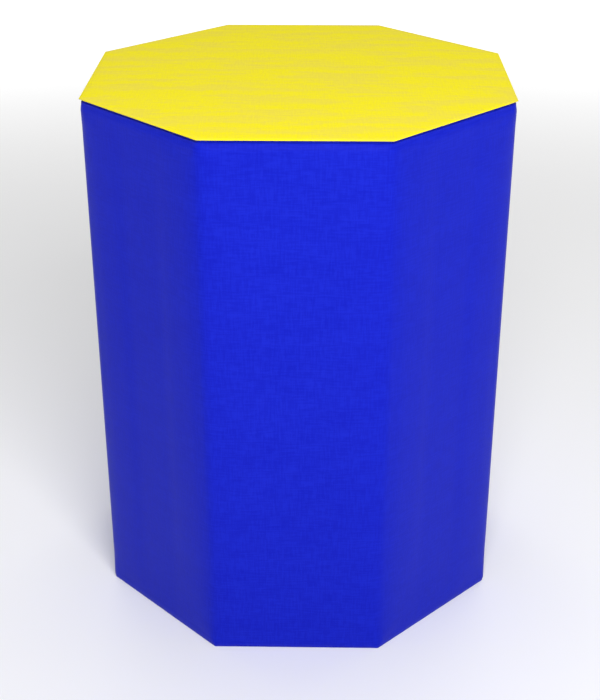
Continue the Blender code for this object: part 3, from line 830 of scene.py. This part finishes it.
def make_end_mesh(cover, top):
    """An end: an octagon cut from a square grid whose lines meet its corners, with its edge folded in."""
    rows = end_profile(cover, top)
    edge = FACE - rows[0][0]
    corner = edge * tan(TURN / 2)
    lines = steps(-edge, (-corner, 21), (corner, 30), (edge, 21))
    made = bmesh.new()
    bmesh.ops.create_grid(made, x_segments=len(lines) - 1, y_segments=len(lines) - 1, size=0.5)
    for vert in made.verts:
        x, y = (lines[round((c + 0.5) * (len(lines) - 1))] for c in vert.co[:2])
        vert.co = (x, y, rows[0][1])
    for turn in (pi / 4, 3 * pi / 4, 5 * pi / 4, 7 * pi / 4):
        outward = Vector((cos(turn), sin(turn), 0))
        everything = [*made.verts, *made.edges, *made.faces]
        bmesh.ops.bisect_plane(
            made, geom=everything, plane_co=outward * edge, plane_no=outward, clear_outer=True, dist=WELD
        )
    spread = {v: 1.0 for v in made.verts}
    rim = [e for e in made.edges if e.is_boundary]
    origin = {v: v.co.copy() for e in rim for v in e.verts}
    for inset, depth, run in rows[1:]:
        rim, fresh, _ = grow_rim(made, rim, origin)
        share = (FACE - inset) / edge
        for vert in fresh:
            vert.co = (origin[vert].x * share, origin[vert].y * share, depth)
            spread[vert] = (FACE + run) / (FACE - inset)
    uv = made.loops.layers.uv.new("cloth")
    for face in made.faces:
        for loop in face.loops:
            co = loop.vert.co * spread[loop.vert]
            loop[uv].uv = (co.x / CLOTH_SPAN + 0.5, co.y / CLOTH_SPAN + 0.5)
    if top:
        bmesh.ops.scale(made, vec=(1, 1, -1), verts=made.verts)
        bmesh.ops.translate(made, vec=(0, 0, HEIGHT), verts=made.verts)
    bmesh.ops.recalc_face_normals(made, faces=made.faces)
    return made


def octagon_depth(co):
    """How far a point lies inside the octagon's nearest edge."""
    angle = atan2(co.y, co.x)
    facing = round(angle / TURN) * TURN
    return FACE - hypot(co.x, co.y) * cos(angle - facing)


def settle_top(piece):
    """The top was cut a little full, so its cloth lies in low waves between its seams."""

    def held(co):
        return 1.0 if octagon_depth(co) < 1.5 * MM or co.z < HEIGHT - 2 * MM else 0.0

    # About 0.2% too full, in waves some 90 mm apart, and a little fuller beside the seam
    def cut(co):
        extra = 0.0018 + 0.0016 * uneven(co, 90 * MM, 7.0)
        near = exp(-octagon_depth(co) / (20 * MM))
        grown = 1 + extra + 0.003 * near
        return Vector((co.x * grown, co.y * grown, co.z))

    settle(piece, held, cut, 0.05, 1.6 * MM)


def rumple_bottom(piece):
    """The base is pressed flat on the floor at its edge, and lifts a little here and there."""
    for vert in piece.data.vertices:
        inner = ease((octagon_depth(vert.co) - 15 * MM) / (60 * MM))
        if vert.co.z < 2 * MM:
            vert.co.z += inner * 0.5 * MM * (1 + uneven(vert.co, 70 * MM, 5.0))


class TUMBLING_MAT_OT_make_wrap(bpy.types.Operator):
    """Make the blue wrap from one cut of coated cloth, sewn, folded at the zip and settled on the foam"""

    bl_idname = "tumbling_mat.make_wrap"
    bl_label = "Side wrap"

    def execute(self, context):
        cover = context.scene.mat_cover
        piece = make_object("wrap_cloth", make_wrap_mesh(cover), "coated_pvc_blue", 60)
        settle_wrap(piece)
        thicken(piece, cover.cloth)
        fit_piece(piece, "mat", "blue_pvc", "side_wrap")
        around = 2 * pi * cover.corner + SIDES * 2 * (FACE - cover.corner) * tan(TURN / 2)
        flat = (around + 2 * TURN_BACK, wall_rows(cover)[-1][2])
        return {"FINISHED"}


class TUMBLING_MAT_OT_make_ends(bpy.types.Operator):
    """Make the yellow ends, each an octagon of coated cloth with its edge folded in at the seam"""

    bl_idname = "tumbling_mat.make_ends"
    bl_label = "End panels"

    def execute(self, context):
        cover = context.scene.mat_cover
        for name, top in (("top", True), ("bottom", False)):
            rows = end_profile(cover, top)
            piece = make_object(name + "_end_cloth", make_end_mesh(cover, top), "coated_pvc_yellow", 60)
            if not top:
                rumple_bottom(piece)
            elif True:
                settle_top(piece)
            thicken(piece, cover.cloth)
            fit_piece(piece, "mat", "yellow_pvc", name + "_end_panel")
        return {"FINISHED"}


def make_tape(side, name, node):
    """One woven tape: flat, with raised warp lines, and a cord along the edge that holds the teeth."""
    low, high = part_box(node)
    near, far = (min(abs(low.x), abs(high.x)) - 0.5 * MM, max(abs(low.x), abs(high.x)))

    def place(across, z):
        ridge = 0.06 * MM * (1 - cos(2 * pi * (across - near) / (3.2 * MM)))
        wave = 0.05 * MM * sin(z / (23 * MM))
        return Vector((side * across, TAPE_MIDDLE + ridge / 2 + wave, z))

    made = cloth_grid(steps(near, (far, 40)), steps(low.z, (high.z, 90)), place)
    piece = make_object(name, made, "woven_polyester_black")
    thicken(piece, high.y - low.y - 0.1 * MM)
    fit_piece(piece, "mat", "zip_tape", node)
    cord = bmesh.new()
    middle = Vector((side * (near - 0.35 * MM), TAPE_MIDDLE, (low.z + high.z) / 2))
    bmesh.ops.create_cone(
        cord, cap_ends=True, segments=10, radius1=0.65 * MM, radius2=0.65 * MM, depth=high.z - low.z,
        matrix=Matrix.Translation(middle),
    )
    cord_piece = make_object(name + "_cord", cord, "woven_polyester_black")
    fit_piece(cord_piece, "mat", "zip_tape")


def repeat(template, places):
    """One mesh with a copy of a small mesh at each place."""
    mesh = bpy.data.meshes.new("template")
    template.to_mesh(mesh)
    template.free()
    made = bmesh.new()
    for place in places:
        count = len(made.verts)
        made.from_mesh(mesh)
        made.verts.ensure_lookup_table()
        bmesh.ops.transform(made, matrix=place, verts=made.verts[count:])
    bpy.data.meshes.remove(mesh)
    return made


def bevel(made, edges, radius, segments=2):
    """Round some edges of a mesh."""
    bmesh.ops.bevel(
        made, geom=edges, offset=radius, offset_type="OFFSET", segments=segments, profile=0.5,
        affect="EDGES", material=-1, clamp_overlap=True,
    )


def round_edges(made, radius, segments=2):
    """Round every edge of a mesh that turns by more than 30 degrees."""
    edges = [e for e in made.edges if e.is_manifold and e.calc_face_angle(0) > radians(30)]
    bevel(made, edges, radius, segments)


def block(low, high):
    """A cube stretched between two corners."""
    made = bmesh.new()
    low, high = Vector(low), Vector(high)
    place = Matrix.Translation((low + high) / 2) @ Matrix.Diagonal((*(high - low), 1))
    bmesh.ops.create_cube(made, size=1, matrix=place)
    return made


def join(*meshes):
    """Several meshes in one, each still closed on its own."""
    made = bmesh.new()
    for one in meshes:
        mesh = bpy.data.meshes.new("joined")
        one.to_mesh(mesh)
        one.free()
        made.from_mesh(mesh)
        bpy.data.meshes.remove(mesh)
    return made


def make_tooth(zipper, side):
    """One moulded tooth: a head that narrows to its tip, on a wider foot round the tape's cord."""
    half = (CHAIN_HIGH.y - CHAIN_LOW.y) / 2
    tip, root = -CHAIN_LOW.x, CHAIN_HIGH.x
    head = block((-tip, -half, 0), (root - 0.6 * MM, half, zipper.tooth))
    for vert in head.verts:
        if vert.co.x < 0:
            vert.co.y *= 0.82
            vert.co.z += copysign(0.18 * MM, zipper.tooth / 2 - vert.co.z)
    round_edges(head, 0.32 * MM, 1)
    foot = block((root - 1.5 * MM, -half * 0.94, -0.22 * MM), (root, half * 0.94, zipper.tooth + 0.22 * MM))
    round_edges(foot, 0.3 * MM, 1)
    tooth = join(head, foot)
    if side < 0:
        bmesh.ops.scale(tooth, vec=(-1, 1, 1), verts=tooth.verts)
        bmesh.ops.reverse_faces(tooth, faces=tooth.faces)
    return tooth


def make_teeth(zipper, side, name, node):
    """A row of teeth, half a pitch from its neighbour so that the two rows mesh."""
    low = CHAIN_LOW.z + (0.0 if side > 0 else zipper.pitch / 2)
    places = []
    while low + zipper.tooth < CHAIN_HIGH.z - 1.5 * MM:
        places.append(Matrix.Translation((0, TAPE_MIDDLE, low)))
        low += zipper.pitch
    made = repeat(make_tooth(zipper, side), places)
    piece = make_object(name, made, "moulded_acetal_black", 30)
    fit_piece(piece, "mat", "zip_teeth", node)


def from_node(node):
    """A merged copy of a CAD node's mesh, to be worked on."""
    made = bmesh.new()
    made.from_mesh(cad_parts[node].data)
    bmesh.ops.remove_doubles(made, verts=made.verts, dist=0.002 * MM)
    bmesh.ops.dissolve_limit(made, angle_limit=radians(1), verts=made.verts, edges=made.edges)
    return made


def cast_piece(name, node, body, slot, material, radius):
    """A cast or stamped copy of a CAD node, with its edges rounded."""
    made = from_node(node)
    round_edges(made, radius)
    return fit_piece(make_object(name, made, material, 35), body, slot, node)


class TUMBLING_MAT_OT_make_chain(bpy.types.Operator):
    """Make the zip's two tapes, its moulded teeth and its metal stops"""

    bl_idname = "tumbling_mat.make_chain"
    bl_label = "Zip chain"

    def execute(self, context):
        zipper = context.scene.mat_zip
        for side, word in ((1, "left"), (-1, "right")):
            make_tape(side, "zip_tape_%s_woven" % word, "zip_tape_" + word)
            make_teeth(zipper, side, "zip_teeth_%s_moulded" % word, "zip_teeth_" + word)
            node = "zip_top_stop_" + word
            cast_piece(node + "_metal", node, "mat", "zip_metal", "plated_zinc", 0.35 * MM)
        cast_piece("zip_bottom_stop_metal", "zip_bottom_stop", "mat", "zip_metal", "plated_zinc", 0.5 * MM)
        return {"FINISHED"}


def sink_panel(made, low, high, depth):
    """Press a plain rounded panel into the +Y face of a casting, between two corners of that face."""
    sideways, upward = (1, 0, 0), (0, 0, 1)
    for co, way in ((low, sideways), (high, sideways), (low, upward), (high, upward)):
        faces = [f for f in made.faces if f.normal.y > REARWARD and f.calc_center_median().y > high.y - NEAR]
        edges = {e for f in faces for e in f.edges}
        verts = {v for f in faces for v in f.verts}
        bmesh.ops.bisect_plane(made, geom=[*verts, *edges, *faces], plane_co=co, plane_no=way, dist=WELD)
    inside = []
    for face in made.faces:
        middle = face.calc_center_median()
        if face.normal.y > REARWARD and low.x < middle.x < high.x and low.z < middle.z < high.z:
            inside.append(face)
    bmesh.ops.inset_region(made, faces=inside, thickness=0.3 * MM, depth=-depth, use_even_offset=True)


class TUMBLING_MAT_OT_make_slider(bpy.types.Operator):
    """Make the cast slider and the tab that hangs from its crown"""

    bl_idname = "tumbling_mat.make_slider"
    bl_label = "Zip slider and pull"

    def execute(self, context):
        cast_piece("zip_slider_cast", "zip_slider", "slider", "zip_metal", "plated_zinc", 0.3 * MM)
        low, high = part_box("zip_pull")
        made = from_node("zip_pull")
        round_edges(made, 0.3 * MM)
        panel_low = Vector((low.x + 2.2 * MM, high.y, low.z + 5 * MM))
        panel_high = Vector((high.x - 2.2 * MM, high.y, low.z + 24 * MM))
        sink_panel(made, panel_low, panel_high, 0.25 * MM)
        piece = make_object("zip_pull_cast", made, "plated_zinc", 35)
        fit_piece(piece, "pull", "zip_metal", "zip_pull")
        return {"FINISHED"}


def make_guard(cover):
    """The strip behind the zip, dished so that the slider clears it."""
    low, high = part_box("zip_guard_strip")
    edge, dish = high.y - cover.cloth / 2, low.y + cover.cloth / 2

    def place(x, z):
        share = 1 - ease((abs(x) - 8.5 * MM) / (5 * MM))
        return Vector((x, edge + (dish - edge) * share + 0.05 * MM * uneven(Vector((x, 0, z)), 30 * MM), z))

    made = cloth_grid(steps(low.x, (high.x, 32)), steps(low.z, (high.z, 70)), place)
    piece = make_object("zip_guard_cloth", made, "coated_pvc_blue")
    thicken(piece, cover.cloth)
    fit_piece(piece, "mat", "blue_pvc", "zip_guard_strip")


def patch_depth(size, x, z):
    """How far a point of a patch lies inside its rounded outline, x and z from its middle."""
    over_x = abs(x) - size[0] / 2 + PATCH_CORNER
    over_z = abs(z) - size[1] / 2 + PATCH_CORNER
    return PATCH_CORNER - hypot(max(over_x, 0), max(over_z, 0)) - min(max(over_x, over_z), 0)


def patch_y(cover, node, x, z):
    """The middle of a patch's cloth: pressed down along its seam, slightly full inside it."""
    low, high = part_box(node)
    inward = patch_depth((high.x - low.x, high.z - low.z), x, z - (low.z + high.z) / 2)
    groove = 0.25 * MM * exp(-((inward - PATCH_SEAM) / (0.9 * MM)) ** 2)
    crown = 0.1 * MM * ease((inward - PATCH_SEAM) / (6 * MM))
    return FACE + 0.3 * MM + cover.cloth / 2 + welt_rise(cover, x, z) - groove + crown


def make_patch(cover, node):
    """A patch over one end of the zip: a rectangle of cloth with rounded corners."""
    low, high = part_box(node)
    width, tall = high.x - low.x, high.z - low.z
    across = steps(-width / 2, (PATCH_CORNER - width / 2, 7), (width / 2 - PATCH_CORNER, 34), (width / 2, 7))
    upward = steps(-tall / 2, (PATCH_CORNER - tall / 2, 7), (tall / 2 - PATCH_CORNER, 24), (tall / 2, 7))

    def place(x, z):
        over_x = (abs(x) - width / 2) / PATCH_CORNER + 1
        over_z = (abs(z) - tall / 2) / PATCH_CORNER + 1
        if over_x > 0 and over_z > 0:
            x -= copysign(PATCH_CORNER * over_x * (1 - (1 - over_z ** 2 / 2) ** 0.5), x)
            z -= copysign(PATCH_CORNER * over_z * (1 - (1 - over_x ** 2 / 2) ** 0.5), z)
        z += (low.z + high.z) / 2
        return Vector((x, patch_y(cover, node, x, z), z))

    made = cloth_grid(across, upward, place)
    piece = make_object(node + "_cloth", made, "coated_pvc_blue", 60)
    thicken(piece, cover.cloth)
    return fit_piece(piece, "mat", "blue_pvc", node)


def stitches(zipper, points):
    """Stitches along a line of points on the zip face: one grain of thread for each pair of neighbours."""
    grain = bmesh.new()
    bmesh.ops.create_uvsphere(grain, u_segments=6, v_segments=5, radius=0.5)
    places = []
    for start, end in zip(points, points[1:]):
        way = end - start
        turned = way.to_track_quat("Z", "Y").to_matrix().to_4x4()
        size = Matrix.Diagonal((zipper.thread, zipper.thread, way.length * 0.9, 1))
        places.append(Matrix.Translation((start + end) / 2) @ turned @ size)
    return repeat(grain, places)


def stitch_line(zipper, start, end, surface):
    """Points a stitch apart from one (x, z) place to another, on the cloth whose face is surface(x, z)."""
    count = max(round(hypot(end[0] - start[0], end[1] - start[1]) / zipper.stitch), 1)
    found = []
    for i in range(count + 1):
        x, z = (a + (b - a) * i / count for a, b in zip(start, end))
        found.append(Vector((x, surface(x, z) + 0.12 * MM, z)))
    return found


class TUMBLING_MAT_OT_make_zip_cloth(bpy.types.Operator):
    """Make the strip behind the zip, the patches over its ends and the stitching that holds them"""

    bl_idname = "tumbling_mat.make_zip_cloth"
    bl_label = "Zip guard, patches and stitching"

    def execute(self, context):
        cover, zipper = context.scene.mat_cover, context.scene.mat_zip
        make_guard(cover)
        for word in ("top", "bottom"):
            node = "zip_end_patch_" + word
            piece = make_patch(cover, node)
            low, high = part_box(node)
            left, right = low.x + PATCH_SEAM, high.x - PATCH_SEAM
            down, up = low.z + PATCH_SEAM, high.z - PATCH_SEAM
            corners = [(left, down), (right, down), (right, up), (left, up), (left, down)]
            sides = [
                stitches(zipper, stitch_line(
                    zipper, start, end, lambda x, z: patch_y(cover, node, x, z) + cover.cloth / 2
                ))
                for start, end in zip(corners, corners[1:])
            ]
            thread = make_object(node + "_thread", join(*sides), "bonded_thread_blue")
            fit_piece(thread, "mat", "blue_pvc")
        low, high = PATCH_BOTTOM_HIGH.z + 2 * MM, PATCH_TOP_LOW.z - 2 * MM
        for side, word in ((1, "left"), (-1, "right")):
            rows = []
            for gap in (2.6 * MM, 8.6 * MM):
                x = side * (SLOT_HALF + gap)
                line = stitch_line(zipper, (x, low), (x, high), lambda x, z: FACE + welt_rise(cover, x, z))
                rows.append(stitches(zipper, line))
            thread = make_object("zip_seam_%s_thread" % word, join(*rows), "bonded_thread_blue")
            fit_piece(thread, "mat", "blue_pvc")
        return {"FINISHED"}


def make_eyelet(number, centre):
    """An eyelet: a rolled rim outside, a barrel through the cloth, its end spread over the washer."""
    low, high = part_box("vent_eyelet_%d" % number)
    bore, rim, front, back = 3.7 * MM, (high.x - low.x) / 2, high.y, low.y
    # Its section: parts that start from a radius and a y, with points so many mm wider and prouder
    section = (
        (bore, back, [(0, 0.1)]),
        (bore, front, [(0, -0.6), (0.2, 0.1), (0.7, 0.5), (1.4, 0.6), (2.2, 0.45), (3.0, 0.15)]),
        (rim, front, [(-0.4, -0.1), (-0.05, -0.35), (0, -0.58)]),
        (bore, front, [(0.6, -0.6)]),
        (bore, back, [(0.6, 0.75), (1.1, 0.6), (1.8, 0.6), (1.9, 0.3), (1.7, 0), (0.6, -0.05)]),
    )
    made = bmesh.new()
    ring = [
        made.verts.new((centre.x + (radius + wider * MM), y + prouder * MM, centre.z))
        for radius, y, part in section for wider, prouder in part
    ]
    edges = [made.edges.new(pair) for pair in zip(ring, ring[1:] + ring[:1])]
    bmesh.ops.spin(
        made, geom=ring + edges, cent=centre, axis=(0, 1, 0), angle=2 * pi, steps=40, use_merge=True,
    )
    bmesh.ops.recalc_face_normals(made, faces=made.faces)
    piece = make_object("vent_eyelet_%d_brass" % number, made, "stamped_brass", 50)
    fit_piece(piece, "mat", "vent_metal", "vent_eyelet_%d" % number)


class TUMBLING_MAT_OT_make_vents(bpy.types.Operator):
    """Make the four brass eyelets that let air out of the cover, and their washers"""

    bl_idname = "tumbling_mat.make_vents"
    bl_label = "Vents"

    def execute(self, context):
        for number, centre in enumerate(VENTS, 1):
            make_eyelet(number, centre)
            node = "vent_washer_%d" % number
            cast_piece(node + "_brass", node, "mat", "vent_metal", "stamped_brass", 0.12 * MM)
        return {"FINISHED"}


def make_slab(core, number):
    """One slab of the core, wire cut, its edges a little worn, drawn in beside the seam allowances."""
    node = "foam_slab_%d" % number
    made = from_node(node)
    low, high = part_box(node)
    for vert in made.verts:
        depth = min(vert.co.z, HEIGHT - vert.co.z)
        share = 1 - ease((depth - 14 * MM) / (8 * MM))
        inside = octagon_depth(vert.co)
        if share > 0 and inside < 40 * MM:
            shrink = 1 - (core.end_inset - 3.3 * MM) * share / FACE
            vert.co.x *= shrink
            vert.co.y *= shrink
    rims = []
    for edge in made.edges:
        flat = all(min(abs(v.co.z - low.z), abs(v.co.z - high.z)) < NEAR for v in edge.verts)
        if flat and edge.is_manifold and edge.calc_face_angle(0) > radians(40):
            rims.append(edge)
    bevel(made, rims, 1.5 * MM)
    piece = make_object("core_slab_%d_foam" % number, made, "cut_foam_cream", 35)
    fit_piece(piece, "mat", "foam", node)


def channel_y(x, inset):
    """Where a surface inside the cover runs across the zip face: it dips behind the guard strip."""
    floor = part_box("zip_guard_strip")[0].y - 0.3 * MM - (inset - 1.1 * MM)
    return floor + (FACE - inset - floor) * ease((abs(x) - 27.5 * MM) / (6 * MM))


def make_liner(cover):
    """The sleeve between foam and cover: one soft crinkled sheet, dented where the vents' washers press."""
    low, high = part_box("slip_liner")
    inset = 1.35 * MM

    def place(along, z):
        point, normal = on_octagon(along, inset, corner_radius(cover, z))
        point.z = z
        if normal.y > REARWARD:
            point.y = channel_y(point.x, inset)
            near = min(hypot(point.x - v.x, point.z - v.z) for v in VENTS)
            point.y -= 1.3 * MM * (1 - ease((near - 9 * MM) / (6 * MM)))
        return point - normal * 0.04 * MM * (1 + uneven(point, 14 * MM, 9.0))

    made = cloth_grid(wall_columns(), steps(low.z, (high.z, 84)), place)
    bmesh.ops.remove_doubles(made, verts=made.verts, dist=WELD)
    piece = make_object("slip_liner_cloth", made, "spunbond_fleece_white", 60)
    thicken(piece, 0.4 * MM)
    fit_piece(piece, "mat", "spunbond", "slip_liner")


class TUMBLING_MAT_OT_make_core(bpy.types.Operator):
    """Make the eight foam slabs and the slip liner round them"""

    bl_idname = "tumbling_mat.make_core"
    bl_label = "Foam core and liner"

    def execute(self, context):
        for number in range(1, SLABS + 1):
            make_slab(context.scene.mat_core, number)
        make_liner(context.scene.mat_cover)
        return {"FINISHED"}


def make_light(name, place, aim, size, power):
    """A soft rectangular studio light."""
    data = bpy.data.lights.new(name, "AREA")
    data.shape = "RECTANGLE"
    data.size, data.size_y = size
    data.energy = power
    light = bpy.data.objects.new(name, data)
    light.location = place
    light.rotation_euler = (Vector(aim) - Vector(place)).to_track_quat("-Z", "Y").to_euler()
    bpy.context.scene.collection.objects.link(light)


class TUMBLING_MAT_OT_make_stage(bpy.types.Operator):
    """Make the pale floor, the soft lights and the camera at the photograph's viewing angle"""

    bl_idname = "tumbling_mat.make_stage"
    bl_label = "Stage"

    def execute(self, context):
        scene = context.scene
        stage = scene.mat_stage
        made = bmesh.new()
        bmesh.ops.create_circle(made, cap_ends=True, segments=96, radius=FLOOR_RADIUS)
        floor = make_object("floor", made, "painted_floor")
        world = bpy.data.worlds.new("soft_white_room")
        world.use_nodes = True
        # The room's wall looks as pale as the far floor, and lights the mat only as much as sky says
        room = world.node_tree
        seen = add(room, "ShaderNodeLightPath").outputs["Is Camera Ray"]
        wall = add(room, "ShaderNodeMapRange", inputs={"Value": seen, "To Min": stage.sky, "To Max": HORIZON})
        feed(room, room.nodes["Background"], {"Color": (1, 1, 1, 1), "Strength": wall.outputs["Result"]})
        scene.world = world
        make_light("key_softbox", (0.45, -2.5, 2.3), (0, 0, 0.5), (1.9, 1.3), stage.key)
        make_light("overhead_softbox", (0, 4.2, 5.0), (0, 4.2, 0), (7.5, 5.5), stage.overhead)
        scene.view_settings.view_transform = "Standard"
        eye = bpy.data.objects.new("photograph_camera", bpy.data.cameras.new("photograph_camera"))
        scene.collection.objects.link(eye)
        forward = cos(CAMERA_PITCH)
        ahead = Vector((sin(CAMERA_YAW) * forward, cos(CAMERA_YAW) * forward, -sin(CAMERA_PITCH)))
        level = Vector((cos(CAMERA_YAW), -sin(CAMERA_YAW), 0))
        upright = level.cross(ahead)
        across = level * cos(CAMERA_ROLL) + upright * sin(CAMERA_ROLL)
        turned = Matrix((across, across.cross(ahead), -ahead)).transposed().to_4x4()
        eye.matrix_world = Matrix.Translation(CAMERA_PLACE) @ turned
        eye.data.lens = CAMERA_LENS
        eye.data.sensor_width = CAMERA_SENSOR
        scene.camera = eye
        return {"FINISHED"}


OPERATORS = (
    TUMBLING_MAT_OT_make_core,
    TUMBLING_MAT_OT_make_wrap,
    TUMBLING_MAT_OT_make_ends,
    TUMBLING_MAT_OT_make_chain,
    TUMBLING_MAT_OT_make_slider,
    TUMBLING_MAT_OT_make_zip_cloth,
    TUMBLING_MAT_OT_make_vents,
    TUMBLING_MAT_OT_make_stage,
)


class VIEW3D_PT_tumbling_mat(bpy.types.Panel):
    """The mat's pieces, each with its own button, and their sizes and colours"""

    bl_label = "Tumbling Mat"
    bl_space_type = "VIEW_3D"
    bl_region_type = "UI"
    bl_category = "Tumbling Mat"

    def draw(self, context):
        scene = context.scene
        for kind in OPERATORS:
            self.layout.operator(kind.bl_idname)
        for settings in (scene.mat_cover, scene.mat_zip, scene.mat_core, scene.mat_stage):
            box = self.layout.box()
            for name in settings.__annotations__:
                box.prop(settings, name)


SETTINGS = {
    "mat_cover": CoverSettings,
    "mat_zip": ZipSettings,
    "mat_core": CoreSettings,
    "mat_stage": StageSettings,
}


def register():
    for kind in (*SETTINGS.values(), *OPERATORS, VIEW3D_PT_tumbling_mat):
        bpy.utils.register_class(kind)
    for name, kind in SETTINGS.items():
        setattr(bpy.types.Scene, name, PointerProperty(type=kind))


def unregister():
    for name in SETTINGS:
        delattr(bpy.types.Scene, name)
    for kind in reversed((*SETTINGS.values(), *OPERATORS, VIEW3D_PT_tumbling_mat)):
        bpy.utils.unregister_class(kind)


def main():
    """Make the whole mat and its stage."""
    register()
    bpy.ops.tumbling_mat.make_core()
    bpy.ops.tumbling_mat.make_wrap()
    bpy.ops.tumbling_mat.make_ends()
    bpy.ops.tumbling_mat.make_chain()
    bpy.ops.tumbling_mat.make_slider()
    bpy.ops.tumbling_mat.make_zip_cloth()
    bpy.ops.tumbling_mat.make_vents()
    bpy.ops.tumbling_mat.make_stage()


if __name__ == "__main__":
    main()
